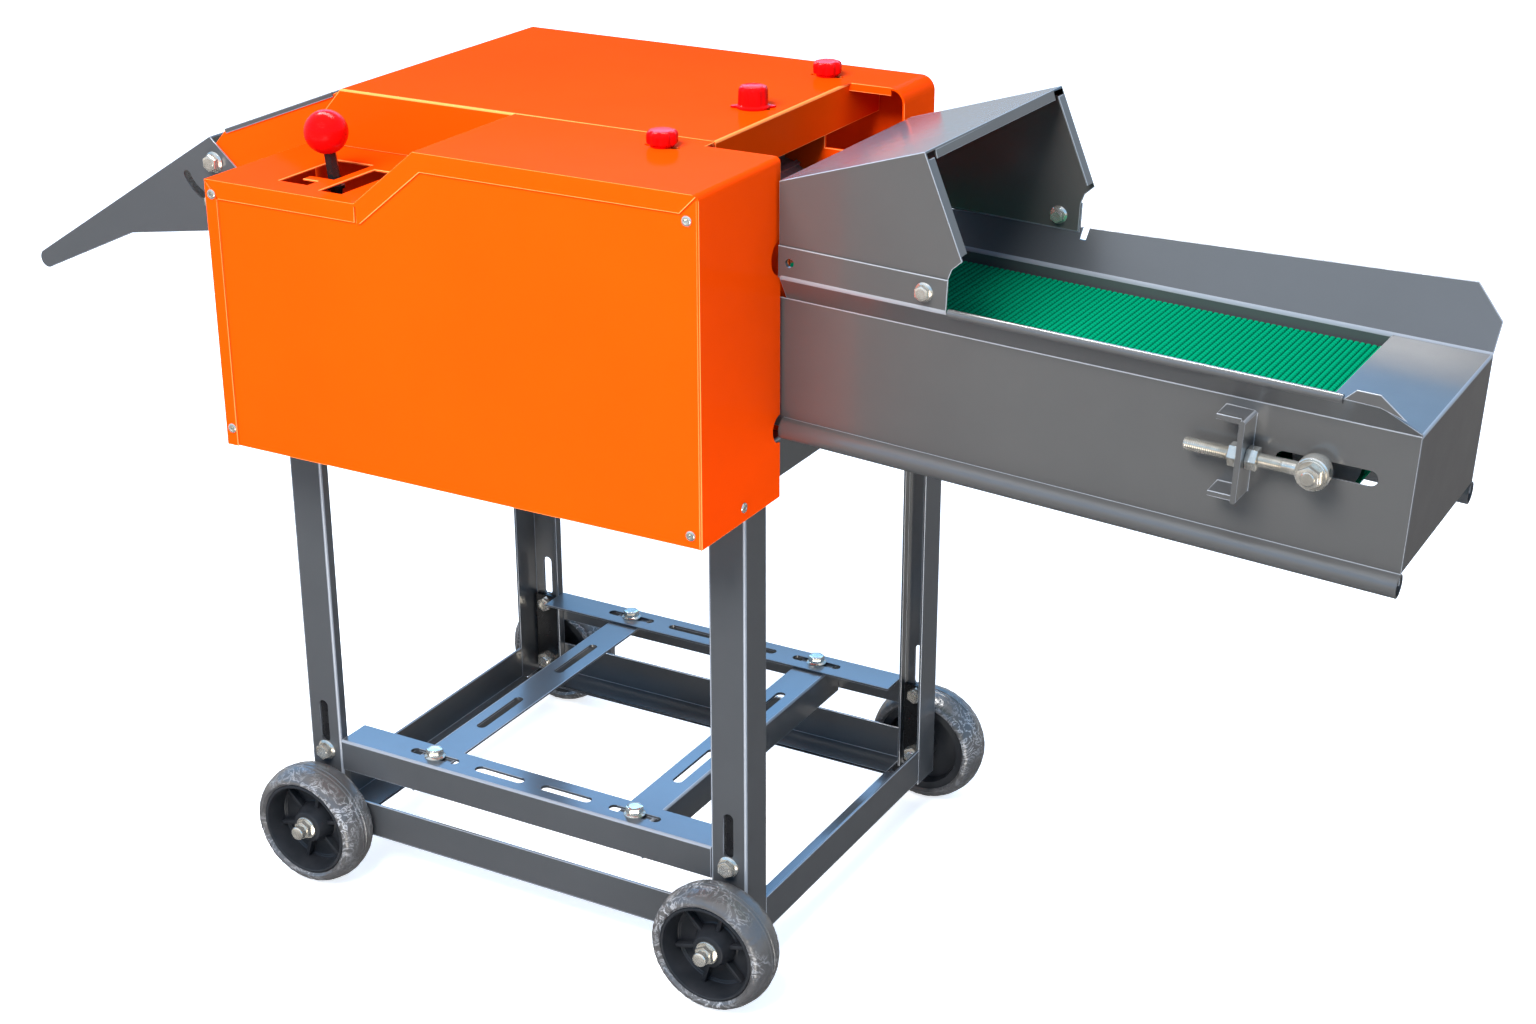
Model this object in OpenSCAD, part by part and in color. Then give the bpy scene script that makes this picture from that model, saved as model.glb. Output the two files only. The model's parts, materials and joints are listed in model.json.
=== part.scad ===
// Chaff cutter with a feed conveyor, on a wheeled angle-steel stand. The motor is not fitted.
// Millimetres. X runs from the discharge to the feed end, Y from the front to the back, Z is up.
// The modules draw in the machine's own axes: X = 0 at the casing's left side, Y = 0 at the front
// cover, Z = 0 at the floor. place() then moves the origin under the middle of the whole machine.

/* [Stand] */
// Height of the stand's top rails
frame_top = 572; // [534:1:634]
// Flange width of the angle legs
leg_w = 40; // [34:1:46]
// Steel thickness of legs and rails
leg_t = 3; // [2:0.5:4]
// Depth of the lip along a leg's free edge
leg_lip = 12; // [6:1:16]
// Height of the legs' lower ends
leg_foot = 46; // [34:1:50]
// How far the legs stand in from the casing's sides
leg_inset = 3; // [3:0.5:12]
// How far the front legs stand behind the front cover
leg_setback = 84; // [82:1:94]
// How far the back legs stand behind the casing
leg_behind = 17; // [0:1:24]
// Flange width of the lower and top rails
rail_w = 40; // [30:1:44]
// Underside of the lower rails
low_rail_z = 49; // [42:1:64]
// Top of the slotted motor rails
motor_rail_top = 156; // [144:1:214]
// Depth of the motor rails' outer flange
motor_rail_h = 35; // [25:1:45]
// Width of the motor rails' slotted flange and of the motor bars
motor_bar_w = 40; // [34:1:46]
// Middle of the left motor bar, from the casing's left side
motor_bar_x = 151; // [110:1:180]
// Distance between the two motor bars
motor_bar_pitch = 246; // [200:1:270]
// Width of the adjusting slots
motor_slot_w = 11; // [10.5:0.5:14]
// Length of the motor slots
motor_slot_l = 80; // [50:1:100]
// Distance between the two motor slots of a bar
motor_slot_pitch = 150; // [120:1:180]
// Length of the rails' slots that take the bars
rail_slot_l = 60; // [40:1:70]
// Height of the slots in the legs
leg_slot_z = 174; // [166:1:234]
// Length of the leg slots
leg_slot_l = 49; // [30:1:70]
// Height of the bolts that hold the axle plates
leg_bolt_z = 140; // [136:1:144]
// Thread of the stand's bolts
frame_bolt_d = 10; // [8:0.5:10]

/* [Wheels] */
// Wheel diameter
wheel_d = 132; // [126:1:136]
// Tyre width
wheel_w = 48; // [40:1:52]
// Diameter of the hub under the tyre
hub_d = 103; // [94:1:106]
// Axle bolt diameter
axle_d = 12; // [10:0.5:16]
// Gap between the leg and the wheel
wheel_gap = 3; // [2.5:0.5:6]
// Thickness of the axle plate inside the leg
axle_plate_t = 5; // [3:0.5:8]

/* [Front cover] */
// Width of the cover and of the casing
cover_w = 540; // [530:1:580]
// Depth of the cover's right side
cover_d = 145; // [140:1:155]
// How far the cover hangs below the top rails
cover_skirt = 58; // [40:1:80]
// Height of the casing above the top rails
casing_h = 267; // [262:1:290]
// Drop from the high deck to the low deck
deck_drop = 57; // [45:1:65]
// Length of the low deck
deck_low_l = 176; // [165:1:182]
// Length of the sloping step between the decks
step_l = 70; // [55:1:80]
// Sheet thickness of the covers
sheet = 2; // [1.5:0.5:2.5]
// Height of the folded flange along the decks
deck_flange = 18; // [14:1:24]
// Width of the folded flange along the left side
side_flange = 13; // [11:1:18]
// Radius of the fold between the top and the right side
cover_fold = 6; // [4:0.5:8]
// Head diameter of the blind rivets
rivet_d = 10; // [7:0.5:10]

/* [Casing] */
// Depth of the casing behind the front cover
casing_d = 350; // [340:1:375]
// How far the front side plate stands behind the cover's right side
plate_setback = 18; // [14:1:22]
// Width of the cutting throat between the side plates
throat_w = 212; // [206:1:222]
// Thickness of the side plates
plate_t = 4; // [3:0.5:6]
// Width of the notch over the feed hood
notch_w = 77; // [72:1:84]
// Distance of the notch's back edge behind the front cover
notch_d = 281; // [270:1:290]
// Depth of the wall that hangs from the notch's left edge
notch_lip = 40; // [30:1:42]
// How far the top cover starts in from the casing's left side
top_start = 40; // [30:1:50]
// How far the top cover's right side stands in from the front cover's
top_inset = 16; // [12:1:24]
// Radius of the top cover's right fold
top_fold = 15; // [10:1:18]

/* [Discharge] */
// Slope of the chute roof
roof_slope = 20.9; // [18:0.1:24]
// Length of the chute roof
roof_l = 165; // [150:1:168]
// Place of the deflector's pivot, left of the casing
pivot_x = -130; // [-136:1:-126]
// Drop of the deflector's pivot below the casing top
pivot_drop = 95; // [92:1:99]
// Length of the deflector's sloping edge
deflector_l = 297; // [200:1:360]
// Slope of the deflector
deflector_slope = 32; // [28:0.1:36]
// Radius of the deflector's adjusting slot
arc_slot_r = 42; // [36:1:46]
// Diameter of the deflector's bolts
deflector_bolt_d = 10; // [8:0.5:10]

/* [Cutter] */
// Height of the main shaft above the top rails
rotor_z = 94; // [92:1:100]
// Radius of the circle that the knives sweep
rotor_r = 125; // [118:1:125]
// Main shaft diameter
shaft_d = 30; // [24:1:34]
// Number of knives
knife_n = 3; // [3:1:4]
// Width of a knife
knife_w = 45; // [36:1:48]
// Knife thickness
knife_t = 8; // [6:0.5:10]
// Distance of the knife seats from the axis
knife_seat = 95; // [90:1:98]
// Diameter of the drive pulley
pulley_d = 220; // [180:1:222]
// Width of the drive pulley
pulley_w = 44; // [30:1:48]

/* [Feed] */
// Height of the lower feed roller's axis above the top rails
feed_z = 88; // [86:1:92]
// Radius of the feed rollers over their ribs
roller_r = 37; // [34:0.5:37.5]
// Ribs on a feed roller
rib_n = 12; // [8:1:16]
// Height of the ribs
rib_h = 4; // [2:0.5:6]
// Feed roller shaft diameter
roller_shaft_d = 25; // [20:1:28]
// Gap between the feed rollers
roller_gap = 3; // [2:0.5:6]
// Tooth size of the drive gears
gear_m = 4; // [4:0.1:4.2]
// Teeth of the drive pinions
pinion_n = 16; // [15:1:17]
// Teeth of the drive wheels
wheel_n = 36; // [35:1:37]
// Teeth of the gears that join the two feed rollers
roller_gear_n = 22; // [20:1:24]

/* [Trough] */
// Length of the trough outside the casing
trough_l = 580; // [520:1:640]
// Fall of the trough towards the feed end, in degrees
trough_tilt = 2.5; // [0:0.1:3]
// Height of the trough's lower edge above the top rails
trough_lift = 4; // [3:0.5:8]
// Height of the trough walls up to the flare
wall_h = 132; // [130:1:140]
// Sheet thickness of the trough
wall_t = 2; // [1.5:0.5:2.5]
// Outward flare of the front wall
front_flare_out = 16; // [10:1:18]
// Height of the front flare
front_flare_up = 24; // [18:1:30]
// Outward flare of the back wall
back_flare_out = 38; // [34:1:42]
// Height of the back flare at the feed end
back_flare_up = 52; // [46:1:56]
// Height of the back flare at the casing
back_flare_near = 27; // [24:1:40]
// Radius of the rolled bead along the lower edges
bead_r = 10.5; // [8:0.5:11]
// Fall of the beads along the trough
bead_fall = 7.5; // [0:0.5:9]
// Radius of the rolled rim along the front flare
rim_r = 4; // [3:0.5:5]
// Radius of the conveyor rollers
belt_roller_r = 30; // [26:0.5:31]
// Conveyor belt thickness
belt_t = 4; // [3:0.5:5]
// Gap between the belt's edges and the sheet beside them
belt_gap = 4; // [2:0.5:8]
// Height of the conveyor axis in the trough
belt_axis = 87; // [82:0.5:88]
// Distance of the tail roller from the trough's end
tail_in = 80; // [70:1:100]
// Travel of the belt tensioner
tension_travel = 20; // [10:1:24]
// Length of the end cap's top
end_cap_l = 90; // [60:1:95]
// Diameter of the tail axle and the eye bolts
eye_d = 12; // [10:0.5:12.5]
// Free length of the eye bolts
eye_l = 112; // [100:1:130]

/* [Feed hood] */
// Length of the hood's side flanges
hood_l = 163; // [150:1:180]
// How far the mouth's back side stands out beyond its front side
hood_skew = 14; // [0:1:18]
// Height of the hood's mouth in the trough
hood_top = 294; // [276:1:310]
// Height of the hood at the casing
hood_low = 244; // [230:1:256]
// How far the mouth's upper edge stands back from the lower one
hood_rake = 42; // [30:1:50]
// Height of the tabs that hold the hood
tab_h = 30; // [26:1:34]
// Width of the lips folded in along the mouth's sides
hood_lip = 12; // [8:1:14]

/* [Controls] */
// Diameter of the red clamp knobs
knob_d = 30; // [24:1:34]
// Distance of the knobs from the notch
knob_in = 33; // [28:1:38]
// Height of the star knobs
knob_h = 15; // [12:1:18]
// Height of the tall middle knob
cap_h = 21; // [16:1:26]
// Diameter of the studs under the knobs
stud_d = 8; // [6:0.5:10]
// Place of the shift lever at the deck, from the casing's left side
lever_x = 99; // [97:1:101]
// Place of the shift lever behind the cover's front
lever_y = 70; // [66:1:74]
// Height of the lever's pivot below the low deck
lever_drop = 98; // [90:1:110]
// Length of the lever from its pivot to the ball's middle
lever_l = 135; // [125:1:150]
// Lean of the lever towards the discharge, in degrees
lever_lean = 8; // [4:0.5:9]
// Width of the lever rod across its flats
lever_w = 11; // [8:0.5:13]
// Diameter of the lever ball
ball_d = 42; // [36:1:46]
// Swing of the lever towards the back, in degrees
lever_swing = 20; // [10:1:21]
// Swing of the lever towards the front, in degrees
lever_swing_front = 3; // [1:0.5:4]

/* [Hidden] */
$fn = 48;
// Gap between pieces that move past each other, and radial play of a running fit
clear = 0.3;
fit = 0.05;
// Radial play of a screw in its hole
hole_play = 0.25;

// Main planes
casing_back = cover_d + casing_d;
cover_bottom = frame_top - cover_skirt;
deck_high = frame_top + casing_h;
deck_low = deck_high - deck_drop;
step_end = deck_low_l + step_l;
step_a = atan2(deck_drop, step_l);
plate_front = cover_d + plate_setback;
throat_front = plate_front + plate_t;
throat_back = throat_front + throat_w;
plate_back = throat_back + plate_t;
throat_mid = (throat_front + throat_back) / 2;
plate_top = deck_high - sheet;
notch_x = cover_w - notch_w;
notch_y = cover_d + notch_d;
plate_end = cover_w - sheet;
top_right = cover_w - top_inset;
deck_back = plate_front - sheet - clear;

// Stand
leg_x0 = leg_inset;
leg_x1 = cover_w - leg_inset;
leg_y0 = leg_setback;
leg_y1 = casing_back + leg_behind;
rail_x0 = leg_x0 + leg_w;
rail_l = leg_x1 - leg_x0 - 2 * leg_w;
rail_y0 = leg_y0 + leg_w;
rail_d = leg_y1 - leg_y0 - 2 * leg_w;
bar_top = motor_rail_top - leg_t;
bar_l = leg_y1 - leg_y0 - 2 * leg_t;
bar_xs = [motor_bar_x, motor_bar_x + motor_bar_pitch];
rail_slots = 4;
leg_mid = leg_w / 2;
wheel_r = wheel_d / 2;
axle_head = 8;
washer_t = 2;
axle_plate_w = leg_w - 2 * leg_t - 4;
axle_plate_z0 = leg_foot + 6;
axle_plate_z1 = leg_bolt_z + frame_bolt_d;
slot_plate_z1 = leg_slot_z + leg_slot_l / 2 + motor_slot_w / 2;

// Front cover
upper_notch_r = 17;
lower_notch_r = 14;
rivet_h = 1.6;

// Discharge
pivot_z = deck_high - pivot_drop;
arc_slot_w = deflector_bolt_d - 1;
arc_from = 205;
arc_to = 262;
arc_clamp_d = arc_slot_w - 1;
roof_lip = 5;
roof_start = sheet * tan(roof_slope) + clear;
roof_lip_u0 = 12;
roof_lip_l = roof_l - roof_lip_u0 - 2;
tip_r = 10;
elbow = [-4, 26];
tip = elbow - deflector_l * [cos(deflector_slope), sin(deflector_slope)];
side_r = deflector_slope - 90;

// Trough, in its own tilted axes: u along it from the casing's right side, w up from its lower edge
trough_z = frame_top + trough_lift;
trough_y0 = cover_d + plate_t;
trough_y1 = throat_back;
trough_mid = (trough_y0 + trough_y1) / 2;
drive_u = -50;
wall_u0 = -40;
near_gap = 4;
bead_u0 = 1;
bead_w0 = 6.5;
bead_a = atan2(bead_fall, trough_l);
bead_end_w = bead_w0 - bead_fall;
flare_u0 = near_gap - wall_h * sin(trough_tilt);
wall_in0 = trough_y0 + wall_t;
wall_in1 = trough_y1 - wall_t;
belt_y0 = throat_front + belt_gap;
belt_w = wall_in1 - belt_gap - belt_y0;
belt_in = belt_roller_r + clear;
belt_out = belt_in + belt_t;
tail_u = trough_l - tail_in;
bed_t = 3;
bed_u0 = near_gap;
bed_w = belt_axis + belt_in - 0.8 - bed_t;
slot_u0 = tail_u - tension_travel - eye_d - 5;
slot_u1 = tail_u + 50;
slot_h = eye_d + 2;
lobe_h = 10;
lobe_l = 64;
lobe_u = trough_l - lobe_l;
end_chamfer = 34;
drive_x = cover_w + drive_u * cos(trough_tilt) + belt_axis * sin(trough_tilt);
drive_z = trough_z - drive_u * sin(trough_tilt) + belt_axis * cos(trough_tilt);
conveyor_shaft_d = 20;
end_cap_w = wall_h - wall_t;
end_cap_low = bead_end_w + bead_r + clear + 0.2;
tab_front_y = trough_y0 - front_flare_out;
tab_front_w = wall_h + front_flare_up;
flare_top = wall_h + back_flare_up;
back_near_w = wall_h + back_flare_near;
back_rise = (back_flare_up - back_flare_near) / trough_l;
back_chamfer = 30;
back_corner_w = flare_top - 27;
tab_back_w = back_near_w + 2;
tab_back_y = trough_y1 + (tab_back_w - wall_h) * back_flare_out / back_flare_up;
hood_front_y = tab_front_y + wall_t;
hood_back_y = tab_back_y - wall_t;
hood_bolt_in = 22;
hood_bolt_w = tab_h * 0.5;
hood_bolt_d = 8;
hood_cut = [3, 9];
hood_brow = [11, 18];
bracket_u = tail_u - 62;
bracket_t = 5;
bracket_h = 74;
bracket_out = 31;
bracket_fold = 22;
eye_out = 13;
eye_r = 15;
eye_t = eye_d + 2;
nut_t = 10;

// Cutter
feed_gap = 6.5;
feed_x = drive_x - belt_out - roller_r - feed_gap;
shear_gap = 1.5;
shear_t = 10;
shear_room = 2.5;
rotor_x = feed_x - roller_r - shear_room - shear_t - shear_gap - rotor_r;
rotor_c = [rotor_x, frame_top + rotor_z];
pan_gap = 6;
pan_r = rotor_r + pan_gap;
pan_from = 192;
pan_to = 338;
floor_a = 20;
floor_end = 28;
shear_h = 52;
bearing_w = 90;
bearing_t = 12;
pulley_y = 8;
spider_t = 8;
rotor_margin = 4;
rotor_y0 = throat_front + rotor_margin;
rotor_l = throat_w - 2 * rotor_margin;
knife_out = sqrt(pow(rotor_r, 2) - pow(knife_seat + knife_t, 2));

// Feed drive
feed_c = [feed_x, frame_top + feed_z];
upper_c = feed_c + [0, 2 * roller_r + roller_gap];
mesh_d = gear_m * (pinion_n + wheel_n) / 2;
train_d = norm(feed_c - rotor_c);
train_dir = (feed_c - rotor_c) / train_d;
train_up = [-train_dir[1], train_dir[0]];
idler_c = (rotor_c + feed_c) / 2 + train_up * sqrt(pow(mesh_d, 2) - pow(train_d / 2, 2));
mesh_1 = atan2(idler_c[1] - rotor_c[1], idler_c[0] - rotor_c[0]);
mesh_2 = atan2(feed_c[1] - idler_c[1], feed_c[0] - idler_c[0]);
gear_t = 12;
gear_gap = 3;
bush_t = 8;
bush_d = roller_shaft_d + 20;
wheel_y = plate_front - bearing_t - gear_gap - gear_t;
feed_gear_y = wheel_y - gear_gap - gear_t;
idler_d = 20;
idler_head = 5;
roller_gear_m = (2 * roller_r + roller_gap) / roller_gear_n;
roller_gear_y = plate_back + bush_t + gear_gap;
small_belt_y = roller_gear_y + gear_t + gear_gap;
small_belt_w = 8;
small_belt_t = 6;
small_pulley_r = 21;
roller_shaft_end = small_belt_y + small_belt_w + 4;

// Controls
knob_x = notch_x - knob_in;
knob_ys = [cover_d - 20, throat_mid + 18, notch_y + 16];
stud_top = deck_high + 12;
carrier_z = deck_high - 45;
carrier_t = 6;
lever_z = deck_low - lever_drop;
lever_foot_x = lever_x + lever_drop * tan(lever_lean);
lever_hub_d = 26;
lever_hub_l = 20;
lever_pin_d = 10;
ear_t = 4;
gate_half = 10;
gate_left = 34;
gate_back = lever_y + lever_drop * tan(lever_swing) + lever_w;
gate_front = lever_y - lever_drop * tan(lever_swing_front) - lever_w * 0.7;
gate_tongue = 11;
gate_pocket = 16;
gate_nose = 18;
gate2_x = 133;
gate2_w = 26;
gate2_l = 84;
gate2_y = 21;
shift_rail_w = 11;
shift_rail_t = 7;
shift_rail_drop = 16;
shift_rail_y = 28;

// The whole machine's extent, which sets the origin
tip_x = pivot_x + tip[0] + tip_r * cos(side_r) - tip_r;
end_x = cover_w + trough_l * cos(trough_tilt) + back_corner_w * sin(trough_tilt);
back_y = leg_y1 + wheel_gap + wheel_w + clear + washer_t + axle_head;
origin_x = (tip_x + end_x) / 2;
origin_y = (back_y - rivet_h) / 2;

orange = "#f26a0c";
grey = "#4a4d52";
zinc = "#c9cbcc";
steel = "#8d9196";
red = "#d9141c";
black = "#1d1e20";
rubber = "#6f6a64";
green = "#12a05a";

// Helpers

module place() {
    translate([-origin_x, -origin_y, 0]) children();
}

// An outline in X and Z, made t thick from y backwards
module xz_plate(y, t) {
    translate([0, y + t, 0]) rotate([90, 0, 0]) linear_extrude(t) children();
}

// An outline in Y and Z, drawn out l long from x
module yz_bar(x, l) {
    translate([x, 0, 0]) rotate([90, 0, 90]) linear_extrude(l) children();
}

module rod_y(c, y0, y1, d) {
    translate([c[0], y0, c[1]]) rotate([-90, 0, 0]) cylinder(d = d, h = y1 - y0);
}

module rod_x(x0, x1, y, z, d) {
    translate([x0, y, z]) rotate([0, 90, 0]) cylinder(d = d, h = x1 - x0);
}

// Points of an arc from a0 to a1 in n steps
function arc_points(c, r, a0, a1, n) =
    [for (k = [0 : n]) let (a = a0 + (a1 - a0) * k / n) c + r * [cos(a), sin(a)]];

module slot_2d(l, w) {
    square([l - w, w], center = true);
    for (s = [-1, 1]) translate([s * (l - w) / 2, 0]) circle(d = w);
}

// Flange bolt along -Z with its seat at the origin: head above, shank and nut below
module flange_bolt(d, grip) {
    flange_t = 0.2 * d;
    cylinder(d = 2.2 * d, h = flange_t);
    cylinder(d = 1.8 * d, h = flange_t + 0.7 * d, $fn = 6);
    translate([0, 0, -grip - 0.9 * d]) cylinder(d = d, h = grip + 0.9 * d);
    translate([0, 0, -grip - 0.8 * d]) cylinder(d = 1.8 * d, h = 0.8 * d, $fn = 6);
}

// The same bolt with its head to the front (side = -1) or to the back (side = 1)
module flange_bolt_y(c, y, d, grip, side) {
    translate([c[0], y, c[1]]) rotate([-side * 90, 0, 0]) flange_bolt(d, grip);
}

// Involute gear outline with the middle of a tooth on the first axis
pressure_a = 20;
backlash_a = 0.35;
function inv_a(a) = tan(a) * 180 / PI - a;
function tooth_half(n, base_r, r) =
    90 / n - backlash_a + inv_a(pressure_a) - inv_a(acos(min(1, base_r / r)));
function gear_outline(n, m) =
    let (
        pitch_r = n * m / 2,
        base_r = pitch_r * cos(pressure_a),
        root_r = pitch_r - 1.2 * m,
        flank = [for (k = [0 : 4]) base_r + (pitch_r + 0.95 * m - base_r) * k / 4],
        radii = root_r < base_r ? concat([root_r], flank) : flank,
        last = len(radii) - 1
    )
    [for (i = [0 : n - 1], s = [-1, 1], k = [0 : last])
        let (
            r = radii[s < 0 ? k : last - k],
            a = 360 * i / n + s * tooth_half(n, base_r, max(r, base_r))
        )
        r * [cos(a), sin(a)]];

module gear(c, y, n, m, bore, turn) {
    translate([c[0], 0, c[1]]) rotate([0, -turn, 0]) difference() {
        xz_plate(y, gear_t) polygon(gear_outline(n, m));
        rod_y([0, 0], y - 1, y + gear_t + 1, bore);
    }
}

module in_trough() {
    translate([cover_w, 0, trough_z]) rotate([0, trough_tilt, 0]) children();
}

// Stand

// One leg, drawn for the front left corner with its outer corner at the origin
module leg_blank() {
    leg_h = frame_top - leg_foot;
    difference() {
        translate([0, 0, leg_foot]) {
            cube([leg_w, leg_t, leg_h]);
            cube([leg_t, leg_w, leg_h]);
            translate([leg_w - leg_t, 0, 0]) cube([leg_t, leg_lip, leg_h]);
        }
        xz_plate(-1, leg_t + 2) translate([leg_mid, leg_slot_z]) rotate(90) slot_2d(leg_slot_l, motor_slot_w);
        rod_y([leg_mid, wheel_r], -1, leg_t + 1, axle_d + 2 * hole_play);
        rod_y([leg_mid, leg_bolt_z], -1, leg_t + 1, frame_bolt_d + 2 * hole_play);
    }
}

module at_corner(right, back) {
    translate([right ? leg_x1 : leg_x0, back ? leg_y1 : leg_y0, 0])
        mirror([right ? 1 : 0, 0, 0]) mirror([0, back ? 1 : 0, 0]) children();
}

module all_corners() {
    for (right = [false, true], back = [false, true]) at_corner(right, back) children();
}

module leg(right, back) {
    place() color(grey) at_corner(right, back) leg_blank();
}

// Angle along X: a flat flange inwards and an upright flange outside, edge at the origin
module angle_x(l, flat_w, up_h) {
    cube([l, flat_w, leg_t]);
    cube([l, leg_t, up_h]);
}

module angle_y(l, flat_w, up_h) {
    cube([flat_w, l, leg_t]);
    cube([leg_t, l, up_h]);
}

module rail_ring(z, up) {
    flip = up ? 0 : 1;
    translate([0, 0, z]) mirror([0, 0, flip]) {
        translate([rail_x0, leg_y0, 0]) angle_x(rail_l, leg_w, rail_w);
        translate([rail_x0, leg_y1, 0]) mirror([0, 1, 0]) angle_x(rail_l, leg_w, rail_w);
        translate([leg_x0, rail_y0, 0]) angle_y(rail_d, leg_w, rail_w);
        translate([leg_x1, rail_y0, 0]) mirror([1, 0, 0]) angle_y(rail_d, leg_w, rail_w);
    }
}

module lower_rails() {
    place() color(grey) rail_ring(low_rail_z, true);
}

module top_rails() {
    place() color(grey) rail_ring(frame_top, false);
}

module motor_rail() {
    difference() {
        translate([rail_x0, 0, motor_rail_top]) mirror([0, 0, 1]) angle_x(rail_l, motor_bar_w, motor_rail_h);
        for (i = [0 : rail_slots - 1])
            translate([motor_bar_x + i * motor_bar_pitch / (rail_slots - 1), motor_bar_w / 2, bar_top - 1])
                linear_extrude(leg_t + 2) slot_2d(rail_slot_l, motor_slot_w);
    }
}

module motor_rails() {
    place() color(grey) {
        translate([0, leg_y0, 0]) motor_rail();
        translate([0, leg_y1, 0]) mirror([0, 1, 0]) motor_rail();
    }
}

bar_bolt_ys = [motor_bar_w / 2 - leg_t, bar_l - motor_bar_w / 2 + leg_t];
bar_slot_ys = [(bar_l - motor_slot_pitch) / 2, (bar_l + motor_slot_pitch) / 2];

// Motor bar with the middle of its slotted flange on X = 0
module motor_bar() {
    translate([0, leg_y0 + leg_t, bar_top]) difference() {
        translate([motor_bar_w / 2, 0, 0]) mirror([1, 0, 0]) mirror([0, 0, 1])
            angle_y(bar_l, motor_bar_w, motor_rail_h);
        for (y = bar_slot_ys)
            translate([0, y, -leg_t - 1]) linear_extrude(leg_t + 2) rotate(90) slot_2d(motor_slot_l, motor_slot_w);
        for (y = bar_bolt_ys)
            translate([0, y, -leg_t - 1]) cylinder(d = frame_bolt_d + 2 * hole_play, h = leg_t + 2);
    }
}

module motor_bars() {
    place() color(grey) {
        translate([bar_xs[0], 0, 0]) mirror([1, 0, 0]) motor_bar();
        translate([bar_xs[1], 0, 0]) motor_bar();
    }
}

module frame_bolts() {
    place() color(zinc) {
        for (x = bar_xs, y = bar_bolt_ys)
            translate([x, leg_y0 + leg_t + y, motor_rail_top]) flange_bolt(frame_bolt_d, 2 * leg_t);
        all_corners()
            flange_bolt_y([leg_mid, leg_bolt_z], 0, frame_bolt_d, leg_t + axle_plate_t, -1);
    }
}

module axle_plate(top) {
    difference() {
        translate([leg_mid - axle_plate_w / 2, leg_t, axle_plate_z0])
            cube([axle_plate_w, axle_plate_t, top - axle_plate_z0]);
        rod_y([leg_mid, wheel_r], 0, leg_t + axle_plate_t + 1, axle_d + 2 * hole_play);
        rod_y([leg_mid, leg_bolt_z], 0, leg_t + axle_plate_t + 1, frame_bolt_d + 2 * hole_play);
    }
}

// The front plates also back the legs' slots
module axle_plates() {
    place() color(grey) for (right = [false, true]) {
        at_corner(right, false) axle_plate(slot_plate_z1);
        at_corner(right, true) axle_plate(axle_plate_z1);
    }
}

// Axle bolt: hex head and washer outside the wheel, spacer beside the leg, nut inside the axle plate
module axle_bolt() {
    wheel_out = -wheel_gap - wheel_w - clear;
    nut_y = leg_t + axle_plate_t;
    c = [leg_mid, wheel_r];
    rod_y(c, wheel_out - washer_t, nut_y + axle_d, axle_d);
    rod_y(c, wheel_out - washer_t, wheel_out, 2.2 * axle_d);
    translate([c[0], wheel_out - washer_t - axle_head, c[1]]) rotate([-90, 0, 0])
        cylinder(d = 1.8 * axle_d, h = axle_head, $fn = 6);
    rod_y(c, -wheel_gap + clear, 0, 2 * axle_d);
    translate([c[0], nut_y, c[1]]) rotate([-90, 0, 0]) cylinder(d = 1.8 * axle_d, h = 0.8 * axle_d, $fn = 6);
}

module axle_bolts() {
    place() color(zinc) all_corners() axle_bolt();
}

module at_wheel(right, back) {
    at_corner(right, back) translate([leg_mid, -wheel_gap - wheel_w / 2, wheel_r]) rotate([90, 0, 0]) children();
}

// Dished hub with six ribs, axis along Z, outer face upwards
module wheel_hub(right, back) {
    rim_w = wheel_w - 6;
    rim_t = 8;
    web_t = 6;
    boss_d = 2.4 * axle_d;
    hub_r = hub_d / 2 - fit;
    rib_t = 5;
    rib_up = 10;
    place() color(black) at_wheel(right, back) difference() {
        union() {
            rotate_extrude() translate([hub_r - rim_t, -rim_w / 2]) square([rim_t, rim_w]);
            translate([0, 0, -web_t / 2]) cylinder(r = hub_r - 1, h = web_t);
            cylinder(d = boss_d, h = wheel_w, center = true);
            for (i = [0 : 5], s = [-1, 1])
                rotate(60 * i) translate([0, -rib_t / 2, s < 0 ? -rib_up : 0])
                    cube([hub_r - rim_t / 2, rib_t, rib_up]);
        }
        cylinder(d = axle_d + 2 * fit, h = wheel_w + 2, center = true);
    }
}

module tyre(right, back) {
    half = wheel_w / 2;
    groove = 1;
    edge = 3;
    crown_r = hub_d / 2 + 1;
    shoulder = [for (a = [10 : 10 : 80])
        [crown_r + (wheel_r - crown_r) * pow(sin(a), 0.8), half * cos(a)]];
    tread = concat([[hub_d / 2, half - edge]], shoulder, [[wheel_r, edge], [wheel_r - groove, edge - groove]]);
    mirrored = [for (i = [len(tread) - 1 : -1 : 0]) [tread[i][0], -tread[i][1]]];
    place() color(rubber) at_wheel(right, back) rotate_extrude($fn = 72) polygon(concat(tread, mirrored));
}

// Casing

// Side plate outline: chute ear on the left, stepped down at the feed notch, deepened under the rotor
module side_outline() {
    pan_half = pan_r + plate_t;
    plate_step = notch_x - sheet - clear;
    ear_z = pivot_z;
    roof_x = top_start - roof_l * cos(roof_slope);
    roof_z = plate_top - roof_l * sin(roof_slope);
    polygon([[0, frame_top], [0, ear_z - 90], [pivot_x + 50, ear_z - 57], [pivot_x - 20, ear_z - 5],
        [roof_x, roof_z], [top_start, plate_top], [plate_step, plate_top],
        [plate_step, carrier_z - 10], [plate_end, carrier_z - 10], [plate_end, frame_top],
        [rotor_x + pan_half, frame_top], [rotor_x + pan_half, rotor_c[1] - pan_half],
        [rotor_x - pan_half, rotor_c[1] - pan_half], [rotor_x - pan_half, frame_top]]);
}

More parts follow.
